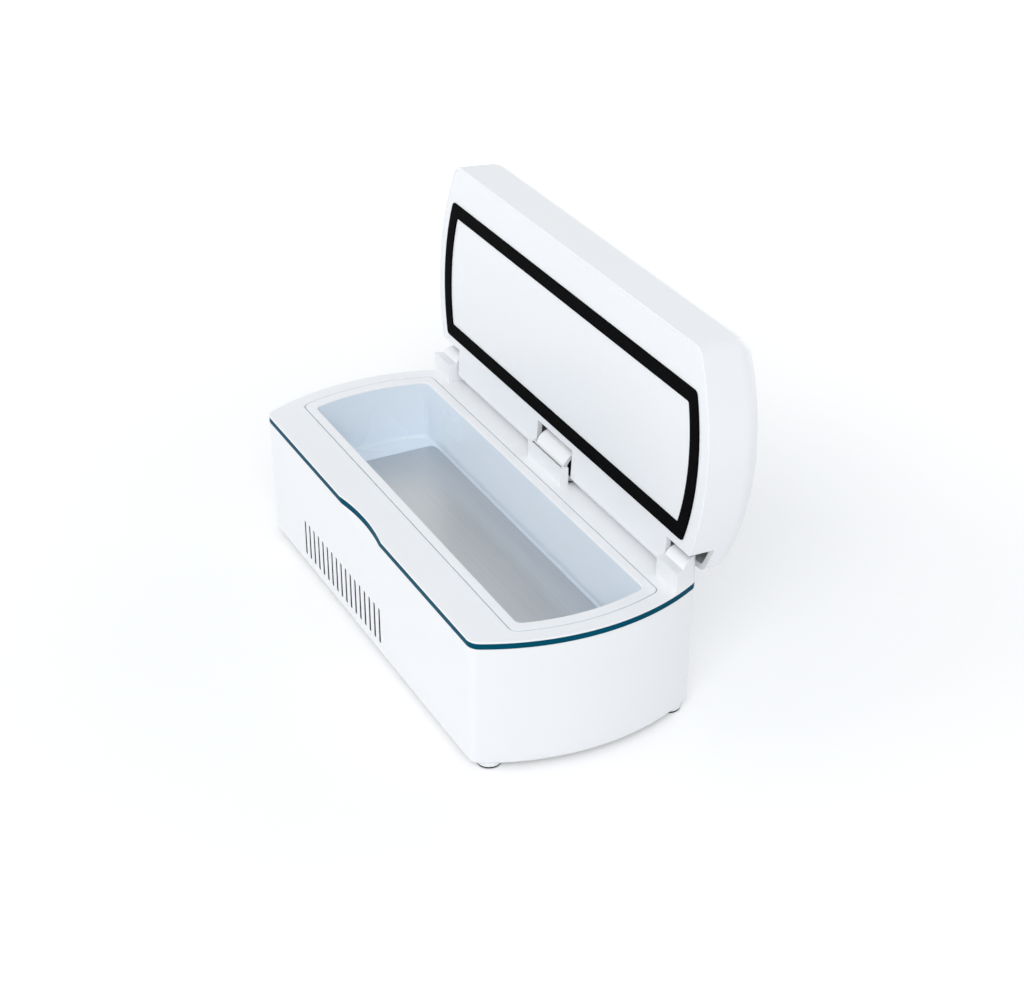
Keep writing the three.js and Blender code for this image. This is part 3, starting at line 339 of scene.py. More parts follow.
def rotate(bm, angle, axis, centre=ORIGIN, verts=None):
    matrix = Matrix.Rotation(angle, 3, axis)
    bmesh.ops.rotate(bm, cent=centre, matrix=matrix, verts=bm.verts if verts is None else verts)


def verts_in(geom):
    """Vertices among what an operation made."""
    return [part for part in geom if isinstance(part, bmesh.types.BMVert)]


def connect(bm, points):
    """Edges from each point to the next."""
    return [bm.edges.new(pair) for pair in zip(points, points[1:])]


def arc(bm, start, centre, angle, steps, axis=(0, 0, 1)):
    """Swings a vertex round a centre, and returns the vertex at the end of the arc."""
    swung = bmesh.ops.spin(
        bm,
        geom=[start],
        cent=centre,
        axis=axis,
        dvec=ORIGIN,
        angle=angle,
        steps=steps,
        use_duplicate=False,
    )
    return verts_in(swung["geom_last"])[0]


def bulged_outline(half_x, half_y, corner, z, squeeze=0.0):
    """Points of one turn round the case: straight sides, bulged ends and rounded corners."""
    body = bpy.context.scene.case_body
    centre = body.length / 2 - body.end_radius
    radius = half_x - centre
    corner_y = half_y - corner
    corner_x = centre + math.sqrt((radius - corner) ** 2 - corner_y**2)
    lean = math.atan2(corner_y, corner_x - centre)
    bm = bmesh.new()
    end = bm.verts.new((corner_x, -half_y, z))
    end = arc(bm, end, (corner_x, -corner_y, z), math.pi / 2 - lean, CORNER_STEPS)
    end = arc(bm, end, (centre, 0, z), 2 * lean, END_STEPS)
    arc(bm, end, (corner_x, corner_y, z), math.pi / 2 - lean, CORNER_STEPS)
    half = bm.verts[:]
    across = bmesh.ops.duplicate(bm, geom=half)["vert_map"]
    turned = [across[vert] for vert in half]
    rotate(bm, math.pi, "Z", verts=turned)
    stretch(bm, (1 - squeeze / half_x, 1 - squeeze / half_y, 1))
    points = [vert.co.copy() for vert in half + turned]
    bm.free()
    return points


def body_outline(inset, z, squeeze=0.0):
    """Outline of the case drawn in by an even distance."""
    body = bpy.context.scene.case_body
    corner = max(body.corner - inset, LEAST_CORNER)
    return bulged_outline(*body.half_less(inset, inset), corner, z, squeeze)


def housing_outline(inset, z):
    """Outline of the housing, which narrows towards its foot."""
    scale = bpy.context.scene.case_body.taper_at(z)
    return [Vector((scale * x, scale * y, z)) for x, y, z in body_outline(inset, z)]


def skin(outlines, ring=False):
    """Extrudes one outline through the next.

    A ring ends on its first outline. Otherwise the first and the last are filled.
    """
    bm = bmesh.new()
    start = row = [bm.verts.new(point) for point in outlines[0]]
    edges = first = connect(bm, row + row[:1])
    for outline in outlines[1:] + (outlines[:1] if ring else []):
        fresh = set(verts_in(bmesh.ops.extrude_edge_only(bm, edges=edges)["geom"]))
        row = [next(v for e in old.link_edges if (v := e.other_vert(old)) in fresh) for old in row]
        edges = [bm.edges.get(pair) for pair in zip(row, row[1:] + row[:1])]
        for vert, point in zip(row, outline):
            vert.co = point
    if ring:
        bmesh.ops.remove_doubles(bm, verts=start + row, dist=MERGE)
    else:
        bmesh.ops.edgeloop_fill(bm, edges=first)
        bmesh.ops.edgeloop_fill(bm, edges=edges)
    return bm


def rounding(radius, steps):
    """Rises and insets along a quarter round, from an upright wall to a flat top."""
    angles = [math.pi / 2 * step / steps for step in range(steps + 1)]
    return [(radius * math.sin(angle), radius * (1 - math.cos(angle))) for angle in angles]


def block(low, high):
    """Rectangular block between two corners."""
    low, high = Vector(low), Vector(high)
    bm = bmesh.new()
    bmesh.ops.create_cube(bm, size=1)
    stretch(bm, high - low)
    shift(bm, (low + high) / 2)
    return bm


def ease_edges(bm, edges, radius, segments=3):
    """Rounds edges over."""
    bmesh.ops.bevel(
        bm,
        geom=edges,
        offset=radius,
        offset_type="OFFSET",
        affect="EDGES",
        segments=segments,
        profile=0.5,
        material=-1,
        clamp_overlap=True,
    )


def crisp_edges(bm, angle=CRISP_ANGLE):
    """Edges between faces that meet at a marked angle."""
    return [edge for edge in bm.edges if edge.is_manifold and edge.calc_face_angle(0) > angle]


def rim_at(bm, z):
    """Crisp edges that lie at one height."""
    crisp = crisp_edges(bm)
    return [edge for edge in crisp if all(abs(vert.co.z - z) < LEVEL for vert in edge.verts)]


def rounded_block(low, high, corner):
    """Upright block with its four upright edges rounded."""
    bm = block(low, high)
    upright = [edge for edge in bm.edges if (edge.verts[0].co - edge.verts[1].co).xy.length < MERGE]
    ease_edges(bm, upright, corner, 8)
    return bm


def prism(start, centre, angle, steps, axis, corners, run):
    """Solid drawn out along a run from an arc and the corners that close its outline."""
    bm = bmesh.new()
    first = bm.verts.new(start)
    end = arc(bm, first, centre, angle, steps, axis)
    connect(bm, [end, *(bm.verts.new(corner) for corner in corners), first])
    bmesh.ops.edgeloop_fill(bm, edges=bm.edges[:])
    made = bmesh.ops.extrude_face_region(bm, geom=bm.faces[:])["geom"]
    shift(bm, run, verts_in(made))
    return bm


def lathe(profile, centre=ORIGIN, axis="Z", steps=ROUND_STEPS):
    """Turns a profile of (radius, height) about an axis.

    A profile that starts off the axis is closed on itself.
    """
    bm = bmesh.new()
    points = [bm.verts.new((radius, 0, height)) for radius, height in profile]
    closed = profile[0][0] > 0
    connect(bm, points + points[:1] if closed else points)
    bmesh.ops.spin(
        bm,
        geom=bm.verts[:] + bm.edges[:],
        cent=ORIGIN,
        axis=(0, 0, 1),
        dvec=ORIGIN,
        angle=2 * math.pi,
        steps=steps,
        use_merge=True,
        use_duplicate=False,
    )
    bmesh.ops.remove_doubles(bm, verts=bm.verts, dist=MERGE)
    if axis == "X":
        rotate(bm, math.pi / 2, "Y")
    if axis == "Y":
        rotate(bm, -math.pi / 2, "X")
    shift(bm, centre)
    return bm


def drum(radius, low, high, centre, axis):
    """Plain cylinder between two heights on its axis."""
    return lathe([(0, low), (radius, low), (radius, high), (0, high)], centre, axis)


def stadium_tool(centre, width, length, upright, mouth):
    """Cutter with round ends and a flared mouth, given as levels of (depth, growth)."""
    bm = bmesh.new()
    segments = 24
    bmesh.ops.create_circle(bm, cap_ends=False, segments=segments, radius=width / 2)
    rotate(bm, math.pi / segments, "Z")
    for side in (-1, 1):
        end = [vert for vert in bm.verts if side * vert.co.y > 0]
        shift(bm, (0, side * (length - width) / 2, 0), end)
    depth, growth = mouth[0]
    stretch(bm, (1 + 2 * growth / width, 1 + 2 * growth / length, 1))
    shift(bm, (0, 0, depth))
    loop = bm.edges[:]
    bmesh.ops.edgeloop_fill(bm, edges=loop)
    for next_depth, next_growth in mouth[1:]:
        made = bmesh.ops.extrude_edge_only(bm, edges=loop)["geom"]
        verts = verts_in(made)
        loop = [part for part in made if isinstance(part, bmesh.types.BMEdge)]
        across = (width + 2 * next_growth) / (width + 2 * growth)
        along = (length + 2 * next_growth) / (length + 2 * growth)
        stretch(bm, (across, along, 1), verts)
        shift(bm, (0, 0, next_depth - depth), verts)
        depth, growth = next_depth, next_growth
    bmesh.ops.edgeloop_fill(bm, edges=loop)
    if upright:
        rotate(bm, math.pi / 2, "X")
    shift(bm, centre)
    return bm


def meshed(bm, name):
    """Mesh of a finished shape, with its faces turned outwards."""
    bmesh.ops.recalc_face_normals(bm, faces=bm.faces)
    mesh = bpy.data.meshes.new(name)
    bm.to_mesh(mesh)
    bm.free()
    return mesh


def show(name, data):
    """Object in the scene for a mesh, a lamp or a camera."""
    shown = bpy.data.objects.new(name, data)
    bpy.context.scene.collection.objects.link(shown)
    return shown


def carve(bm, *tools, operation="DIFFERENCE"):
    """Takes closed tools out of a closed shape, or keeps what lies in them."""
    held = [show("cutting", meshed(shape, "cutting")) for shape in (bm, *tools)]
    for tool in held[1:]:
        cut = held[0].modifiers.new("cut", "BOOLEAN")
        cut.solver = "EXACT"
        cut.operation = operation
        cut.object = tool
    bpy.context.view_layer.update()
    graph = bpy.context.evaluated_depsgraph_get()
    made = bpy.data.meshes.new_from_object(held[0].evaluated_get(graph))
    result = bmesh.new()
    result.from_mesh(made)
    for piece in held:
        mesh = piece.data
        bpy.data.objects.remove(piece)
        bpy.data.meshes.remove(mesh)
    bpy.data.meshes.remove(made)
    if not result.faces:
        raise RuntimeError("a cut left nothing of the piece")
    return result


def add_shape(bm, other):
    """Adds a finished shape to another as a part of the same moulding."""
    mesh = meshed(other, "part")
    bm.from_mesh(mesh)
    bpy.data.meshes.remove(mesh)


def together(shapes):
    """Several shapes as one."""
    whole = bmesh.new()
    for shape in shapes:
        add_shape(whole, shape)
    return whole


def swing_open(bm):
    """Turns what was drawn for the shut lid about the hinge line to where the lid rests open."""
    rotate(bm, -bpy.context.scene.case_hinge.open_angle, "X", hinge_line())


def mark_second_colour(bm, test):
    """Marks the faces that pass a test to take their finish's second colour, which is painted shade
    on the white mouldings.
    """
    mark = bm.faces.layers.float.new(INSIDE)
    for face in bm.faces:
        face[mark] = float(test(face))


def paint_shade_round_hinge(bm, radius, half):
    """Marks the faces that lie within a cylinder about the hinge line, for painted shade."""
    line = hinge_line()

    def near(spot):
        return math.hypot(spot.y, spot.z) < radius + HAIR and abs(spot.x) < half + HAIR

    mark_second_colour(bm, lambda face: all(near(vert.co - line) for vert in face.verts))


def place(bm, name, body, slot, *nodes):
    """Makes the finished piece: shaded smooth, on its body, in the place of its solids."""
    bmesh.ops.remove_doubles(bm, verts=bm.verts, dist=MERGE)
    mesh = meshed(bm, name)
    mesh.shade_smooth()
    mesh.set_sharp_from_angle(angle=SMOOTH_ANGLE)
    mesh.materials.append(finishes()[slot])
    piece = show(name, mesh)
    shading = piece.modifiers.new("flat faces stay flat", "WEIGHTED_NORMAL")
    shading.keep_sharp = True
    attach(piece, body)
    if nodes:
        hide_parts(*nodes)


def shade(value, base):
    """A colour made lighter or darker, with full alpha."""
    return (*(min(1.0, value * part) for part in base), 1.0)


class Wiring:
    """The node tree of a material or a world, emptied and built anew."""

    def __init__(self, owner):
        owner.use_nodes = True
        self.tree = owner.node_tree
        self.tree.nodes.clear()

    def node(self, kind, inputs=(), **options):
        """Adds a node with its options set. Inputs take a constant or a link from an output."""
        made = self.tree.nodes.new(f"ShaderNode{kind}")
        for option, value in options.items():
            setattr(made, option, value)
        self.feed(made, inputs)
        return made

    def feed(self, node, inputs):
        for socket, value in dict(inputs).items():
            if isinstance(value, bpy.types.NodeSocket):
                self.tree.links.new(value, node.inputs[socket])
            else:
                node.inputs[socket].default_value = value


class Finish(Wiring):
    """A material under construction: a Principled shader fed by patterns in object coordinates."""

    def __init__(self, name, metallic=0.0, specular=0.5):
        self.material = bpy.data.materials.new(name)
        super().__init__(self.material)
        constants = {"Metallic": metallic, "Specular IOR Level": specular}
        self.shader = self.node("BsdfPrincipled", constants)
        self.node("OutputMaterial", {"Surface": self.shader.outputs["BSDF"]})
        self.where = self.node("TexCoord").outputs["Object"]

    def noise(self, scale, detail=2.0, rough=0.5, where=None):
        constants = {"Scale": scale, "Detail": detail, "Roughness": rough}
        return self.node("TexNoise", {**constants, "Vector": where or self.where}).outputs["Fac"]

    def ramp(self, pattern, base, *stops):
        """Shades of a colour along a pattern, given as (place, shade)."""
        blend = self.node("ValToRGB", {"Fac": pattern})
        elements = blend.color_ramp.elements
        while len(elements) < len(stops):
            elements.new(0.5)
        for element, (position, value) in zip(elements, stops):
            element.position = position
            element.color = shade(value, base)
        return blend.outputs["Color"]

    def between(self, pattern, low, high, source=(0.3, 0.7)):
        """Pattern spread between two numbers."""
        ends = {"From Min": source[0], "From Max": source[1], "To Min": low, "To Max": high}
        return self.node("MapRange", {**ends, "Value": pattern}).outputs["Result"]

    def or_second_colour(self, source, other):
        """Colour that gives way to another on the marked faces: painted shade on the white
        mouldings, the housing white on the tray's top, the display under the window.
        """
        mark = self.node("Attribute", attribute_name=INSIDE).outputs["Fac"]
        factor, first, second, result = 0, 6, 7, 2  # the node's sockets for colours
        mix = self.node("Mix", {factor: mark, first: source, second: other}, data_type="RGBA")
        return mix.outputs[result]

    def done(self, tint, gloss, pattern, depth):
        """Feeds the shader a colour, a roughness and fine relief of a real depth."""
        relief = self.node("Bump", {"Strength": 1.0, "Distance": depth, "Height": pattern})
        normal = relief.outputs["Normal"]
        self.feed(self.shader, {"Base Color": tint, "Roughness": gloss, "Normal": normal})
        return self.material


def moulded(name, base, roughness, spread=0.006, depth=0.000001, specular=0.5, inside=None):
    """Moulded plastic: faint clouds in the colour, uneven gloss and a very fine grain."""
    finish = Finish(name, specular=specular)
    tint = finish.ramp(finish.noise(16, 1), base, (0.3, 1 - spread), (0.7, 1 + spread))
    # On the housing white the second colour is painted shade.
    if inside:
        tint = finish.or_second_colour(tint, shade(1.0, inside))
    gloss = finish.between(finish.noise(30, 1), roughness - 0.02, roughness + 0.02)
    return finish.done(tint, gloss, finish.noise(1600), depth)


def rubbery(name, base, grain, depth, specular=0.3):
    """Soft matt rubber with a pitted skin and dust in its pores."""
    finish = Finish(name, specular=specular)
    pores = finish.noise(grain, 5, 0.65)
    tint = finish.ramp(pores, base, (0.35, 0.7), (0.6, 1.0), (0.8, 2.2))
    return finish.done(tint, finish.between(pores, 0.7, 0.9), pores, depth)


def brushed(name, base, roughness, direction):
    """Metal with fine lines along one direction."""
    finish = Finish(name, metallic=1.0)
    along = finish.node("Mapping", {"Scale": direction, "Vector": finish.where}).outputs["Vector"]
    lines = finish.noise(60, 4, 0.6, along)
    tint = finish.ramp(lines, base, (0.3, 0.95), (0.7, 1.05))
    gloss = finish.between(lines, roughness - 0.05, roughness + 0.05)
    return finish.done(tint, gloss, lines, 0.000003)


def foamed(name, base):
    """Closed-cell foam."""
    finish = Finish(name, specular=0.2)
    bubbles = finish.node("TexVoronoi", {"Scale": 900, "Vector": finish.where}).outputs["Distance"]
    tint = finish.ramp(bubbles, base, (0.0, 0.82), (0.5, 1.05))
    return finish.done(tint, finish.between(bubbles, 0.85, 1.0), bubbles, 0.00012)


def circuit(name, base):
    """Board with a solder mask over fine tracks."""
    finish = Finish(name)
    tints = {"Color1": shade(1.0, base), "Color2": shade(0.8, base), "Mortar": shade(2.2, base)}
    layout = {"Scale": 260, "Mortar Size": 0.03, "Vector": finish.where}
    tracks = finish.node("TexBrick", {**layout, **tints}).outputs
    gloss = finish.between(tracks["Fac"], 0.3, 0.5, (0, 1))
    return finish.done(tracks["Color"], gloss, tracks["Fac"], 0.00004)


def smoked(name, base, display):
    """Dark clear plastic with a polished face and the unlit display dimly behind it."""
    finish = Finish(name, specular=0.35)
    haze = finish.noise(70, 4)
    tint = finish.ramp(haze, base, (0.3, 0.85), (0.7, 1.25))
    tint = finish.or_second_colour(tint, shade(0.22, display))
    return finish.done(tint, finish.between(haze, 0.04, 0.1), finish.noise(160, 1), 0.000002)


def segment_panel(name, base):
    """Liquid-crystal panel with its fine dot grid."""
    finish = Finish(name)
    tints = {"Color1": shade(1.0, base), "Color2": shade(0.92, base)}
    dots = finish.node("TexChecker", {"Scale": 2400, "Vector": finish.where, **tints}).outputs
    gloss = finish.between(finish.noise(120), 0.3, 0.42)
    return finish.done(dots["Color"], gloss, dots["Fac"], 0.000004)


def finishes():
    """Materials by the record's slots, made once."""
    tint = bpy.context.scene.case_finish
    coarse = {"depth": 0.000006}
    makers = {
        # The housing white takes painted shade on marked faces; the liner carries painted cool
        # shade, and its marked top takes the white.
        "white_housing": lambda name: moulded(name, tint.white, 0.3, inside=tint.inside),
        "white_liner": lambda name: moulded(name, tint.liner_with_cool_shade, 0.26, inside=tint.white),
        "teal_band": lambda name: moulded(name, tint.teal, 0.3, spread=0.06, specular=0.02),
        "gasket": lambda name: rubbery(name, tint.gasket, 1800, 0.00006, specular=0.03),
        "foot_rubber": lambda name: rubbery(name, tint.rubber, 1200, 0.00005),
        "foam": lambda name: foamed(name, tint.foam),
        "aluminium": lambda name: brushed(name, tint.metal, 0.34, (0.3, 55, 55)),
        "steel": lambda name: brushed(name, tint.steel, 0.26, (40, 40, 4)),
        "ceramic": lambda name: moulded(name, tint.ceramic, 0.6, spread=0.04, **coarse),
        "board": lambda name: circuit(name, tint.board),
        "dark_plastic": lambda name: moulded(name, tint.dark, 0.48, spread=0.12, **coarse),
        "battery_wrap": lambda name: moulded(name, tint.wrap, 0.34, spread=0.08),
        "display_lens": lambda name: smoked(name, tint.window, tint.panel),
        "display_panel": lambda name: segment_panel(name, tint.panel),
        "button_cap": lambda name: moulded(name, tint.button, 0.3, spread=0.02),
    }
    names = {slot: f"{slot}_finish" for slot in makers}
    made = bpy.data.materials
    return {slot: made.get(name) or makers[slot](name) for slot, name in names.items()}


def scoop_tool():
    """Cutter of the thumb scoop: a shallow arc in plan that leans out down the front."""
    body, _, _ = case_sizes()
    arc_share = 0.62  # half the arc in scoop lengths, so that it runs on past the scoop's ends
    radius = (body.scoop_length**2 / 4 + body.scoop_depth**2) / (2 * body.scoop_depth)
    centre = -body.width / 2 + body.scoop_depth - radius
    half = arc_share * body.scoop_length
    spread = math.asin(half / radius)
    middle = body.housing_top + body.band_height / 2
    low, high = middle - body.scoop_run, body.deck_top + body.scoop_depth
    slope = math.tan(body.scoop_lean)
    bm = prism(
        start=(half, centre + radius * math.cos(spread), low),
        centre=(0, centre, low),
        angle=2 * spread,
        steps=28,
        axis=(0, 0, 1),
        corners=[(-half, -body.width, low), (half, -body.width, low)],
        run=(0, (high - low) * slope, high - low),
    )
    shift(bm, (0, (low - middle) * slope, 0))
    return bm


class CASE_OT_lower_housing(bpy.types.Operator):
    """Drafted tub with vent slots, fan intake, screw wells and power inlet hole"""

    bl_idname = "cooling_case.lower_housing"
    bl_label = "Lower Housing"

    def execute(self, context):
        body, vents = context.scene.case_body, context.scene.case_vents
        floor = body.foot_height + body.wall
        edge, cove = body.foot_height + body.bottom_edge, floor + body.wall
        under, bowl = rounding(body.bottom_edge, 6)[::-1], rounding(body.wall, 4)
        loops = [housing_outline(inset, edge - rise) for rise, inset in under]
        loops += [housing_outline(inset, body.housing_top) for inset in (0, body.wall)]
        loops += [housing_outline(body.wall + inset, cove - rise) for rise, inset in bowl]
        bm = carve(skin(loops), scoop_tool(), self.openings(body, vents))
        self.paint_slot_shade(bm, body, vents)
        self.columns(bm, body, floor)
        self.bosses(bm, body)
        place(bm, "housing_tub", "case", "white_housing", "lower_housing")
        return {"FINISHED"}

    def openings(self, body, vents):
        """Slots in both long walls, intake and screw wells in the floor, and the inlet's hole."""
        return together(
            [
                *self.slots(body, vents),
                *self.intake(body, vents),
                *self.wells(body),
                self.inlet_hole(body, vents),
            ]
        )

    def mouth(self, vents, depth):
        """Levels of a cutter that starts outside a wall and eases the wall's edge."""
        outside = 0.0005
        return (-outside, outside + vents.ease), (vents.ease, 0), (depth, 0)

    def slots(self, body, vents):
        height = vents.bottom + vents.height / 2
        face = body.width / 2 * body.taper_at(height)
        levels = self.mouth(vents, 3 * body.wall)
        for index in range(vents.slots):
            x = vents.middle + (index - (vents.slots - 1) / 2) * vents.pitch
            for side in (-1, 1):
                mouth = [(side * (depth - face), growth) for depth, growth in levels]
                yield stadium_tool((x, 0, height), vents.width, vents.height, True, mouth)

    def intake(self, body, vents):
        gaps_each_side, rim = 3, 0.001
        levels = self.mouth(vents, 2 * body.wall)
        mouth = [(body.foot_height + depth, growth) for depth, growth in levels]
        for index in range(-gaps_each_side, gaps_each_side + 1):
            x = index * vents.intake_pitch
            length = 2 * (math.sqrt(vents.intake_radius**2 - x**2) - rim)
            yield stadium_tool((vents.middle + x, 0, 0), vents.intake_width, length, False, mouth)

    def wells(self, body):
        flare, slope, depth = 0.0008, 0.0006, 0.0075
        radius, face = body.screw_well, body.foot_height
        profile = [(0, 0), (radius + flare, 0), (radius + flare, face)]
        profile += [(radius, face + slope), (radius, depth), (0, depth)]
        for spot in body.screw_places().values():
            yield lathe(profile, spot)

    def inlet_hole(self, body, vents):
        start, length = body.width / 2 - 0.005, 0.008
        centre = (vents.inlet_x, start, vents.inlet_z)
        return drum(vents.inlet_radius + SLIP, 0, length, centre, "Y")

    def paint_slot_shade(self, bm, body, vents):
        """Marks the upright faces within the slots, which the finish darkens with painted shade."""
        reach = vents.slots * vents.pitch / 2
        outer, upright = body.width / 2, 0.5

        def in_slot(face):
            x, y, z = face.calc_center_median()
            in_row = abs(x - vents.middle) < reach
            in_height = vents.bottom < z < vents.bottom + vents.height
            in_wall = outer - 2 * body.wall < abs(y) < outer - 4 * vents.ease
            return in_row and in_height and in_wall and abs(face.normal.y) < upright

        mark_second_colour(bm, in_slot)

    def columns(self, bm, body, floor):
        """Tubes that sink the screw heads, seen through the wells."""
        inner, outer, shank = body.screw_well + HAIR, body.column_radius, 0.0018
        low, top = floor - HAIR, 0.03
        seat = top - 0.006
        profile = [(inner, low), (inner, seat), (shank, seat)]
        profile += [(shank, top), (outer, top), (outer, low)]
        for spot in body.screw_places().values():
            add_shape(bm, lathe(profile, spot, steps=32))

    def bosses(self, bm, body):
        """White bosses that carry the pads."""
        radius, low = body.foot_diameter / 2, body.pad_height
        high = body.foot_height + body.bottom_edge / 4
        profile = [(0, low), (radius - HAIR, low), (radius, low + HAIR), (radius, high), (0, high)]
        for spot in body.foot_places().values():
            add_shape(bm, lathe(profile, spot, steps=SMALL_ROUND_STEPS))


class CASE_OT_trim_band(bpy.types.Operator):
    """Coloured band between housing and deck, with its edges eased"""

    bl_idname = "cooling_case.trim_band"
    bl_label = "Trim Band"

    def execute(self, context):
        body = context.scene.case_body
        low, high, ease, inner = body.housing_top, body.band_top, 0.00012, 2 * body.wall
        levels = [(ease, low), (0, low + ease), (0, high - ease), (ease, high)]
        levels += [(inner, high), (inner, low)]
        ring = skin([body_outline(inset, z) for inset, z in levels], ring=True)
        place(carve(ring, scoop_tool()), "band_ring", "case", "teal_band", "trim_band")
        return {"FINISHED"}


class CASE_OT_top_deck(bpy.types.Operator):
    """Deck with the tray's rebate, the thumb scoop, the hinge saddle and the two hinge towers"""

    bl_idname = "cooling_case.top_deck"
    bl_label = "Top Deck"

    def execute(self, context):
        scene = context.scene
        body, hinge, chamber = scene.case_body, scene.case_hinge, scene.case_chamber
        reach = hinge.barrel_radius + hinge.play
        trough = drum(reach, -hinge.seat, hinge.seat, hinge_line(), "X")
        bm = carve(self.ring(body, chamber), scoop_tool(), trough)
        self.ease_scoop(bm, body)
        # Painted shade on the faces of the trough round the barrel.
        paint_shade_round_hinge(bm, reach, hinge.seat)
        add_shape(bm, self.saddle(body, hinge))
        for side in (-1, 1):
            add_shape(bm, self.tower(body, hinge, side))
        place(bm, "deck_moulding", "case", "white_housing", "top_deck")
        return {"FINISHED"}

    def ring(self, body, chamber):
        """Flat ring round the chamber, with the rebate for the tray's flange."""
        top, ease, chamfer = body.deck_top, 0.00015, 0.0001
        low, ledge = body.housing_top + chamfer, top - chamber.flange_thickness - HAIR
        hold, inner = chamber.wall + SLIP, 2 * body.wall + 2 * chamfer
        half_x, half_y = body.half_less(chamber.from_end, chamber.from_side)
        edge = rounding(body.deck_edge, 4)

        def outline(grow_x, grow_y, grow_corner, z):
            corner = chamber.corner + grow_corner
            return bulged_outline(half_x + grow_x, half_y + grow_y, corner, z)

        def seam(grow, z):
            gap = chamber.seam + grow
            return outline(chamber.flange_end + gap, chamber.flange_side + gap, gap, z)

        loops = [body_outline(chamfer, body.band_top), body_outline(0, body.band_top + chamfer)]
        loops += [body_outline(inset, top - body.deck_edge + rise) for rise, inset in edge]
        loops += [seam(ease, top), seam(0, top - ease), seam(0, ledge)]
        loops += [outline(hold, hold, hold, z) for z in (ledge, low)]
        loops += [body_outline(inner, z) for z in (low, body.band_top)]
        return skin(loops, ring=True)

    def ease_scoop(self, bm, body):
        """Rounds the upper edge of the scoop like the rest of the deck's edge."""
        reach, radius = 0.48 * body.scoop_length, 0.8 * body.deck_edge
        front = -body.width / 2 + 2 * body.scoop_depth
        rim = [
            edge
            for edge in rim_at(bm, body.deck_top)
            if all(vert.co.y < front and abs(vert.co.x) < reach for vert in edge.verts)
        ]
        ease_edges(bm, rim, radius)

    def saddle(self, body, hinge):
        """Low front wall and two cheeks round the lid's barrel."""
        line = hinge_line()
        ease, half = 0.00022, hinge.seat + hinge.cheek
        front, top = line.y - hinge.saddle_reach, body.deck_top + hinge.saddle_height
        back = line.y - hinge.cheek_back
        outside = block((-half, front, body.band_top + ROOT), (half, back, top))
        reach = hinge.barrel_radius + 2 * HAIR
        shape = carve(outside, drum(reach, -hinge.seat, hinge.seat, line, "X"))
        ease_edges(shape, crisp_edges(shape), ease)
        mouth = Vector((0, front + hinge.saddle_wall + hinge.seam_width / 2, top))
        return self.cut_shaded_seam(shape, hinge, mouth)

    def cut_shaded_seam(self, shape, hinge, mouth):
        """Cuts the narrow seam between the saddle's front wall and the barrel's seat, and darkens
        its faces with painted shade.
        """
        half = hinge.seat - hinge.cheek / 2
        reach = Vector((half, hinge.seam_depth, hinge.seam_width / 2))
        tool = block(-reach, reach)
        rotate(tool, -hinge.seam_lean, "X")
        shift(tool, mouth)
        shape = carve(shape, tool)
        upright = Matrix.Rotation(hinge.seam_lean, 3, "X")
        deep, wide = 1.01 * hinge.seam_depth, 0.6 * hinge.seam_width  # just past the tool's faces

        def in_seam(face):
            spot = upright @ (face.calc_center_median() - mouth)
            return abs(spot.y) < deep and abs(spot.z) < wide

        # Painted shade on the seam's faces.
        mark_second_colour(shape, in_seam)
        return shape

    def tower(self, body, hinge, side):
        """Upstand with a stepped front and a round top, its outer end flush with the case."""
        line = hinge_line()
        radius, ease, crisp = hinge.tower_radius, 0.0004, math.radians(50)
        step, bottom = body.deck_top + hinge.tower_step, body.band_top + ROOT
        front, inner = line.y - hinge.tower_reach, body.length / 2 - hinge.tower_from_end
        shape = prism(
            start=(0, line.y + radius, line.z),
            centre=line,
            angle=math.pi - math.asin((step - line.z) / radius),
            steps=24,
            axis=ALONG_X,
            corners=[(0, front, step), (0, front, bottom), (0, body.width / 2, bottom)],
            run=(body.length / 2 - inner, 0, 0),
        )
        shift(shape, (inner if side > 0 else -body.length / 2, 0, 0))
        within = skin([body_outline(HAIR, z) for z in (bottom - PAST, line.z + 2 * radius)])
        shape = carve(shape, within, operation="INTERSECT")
        ease_edges(shape, crisp_edges(shape, crisp), ease, 4)
        return shape


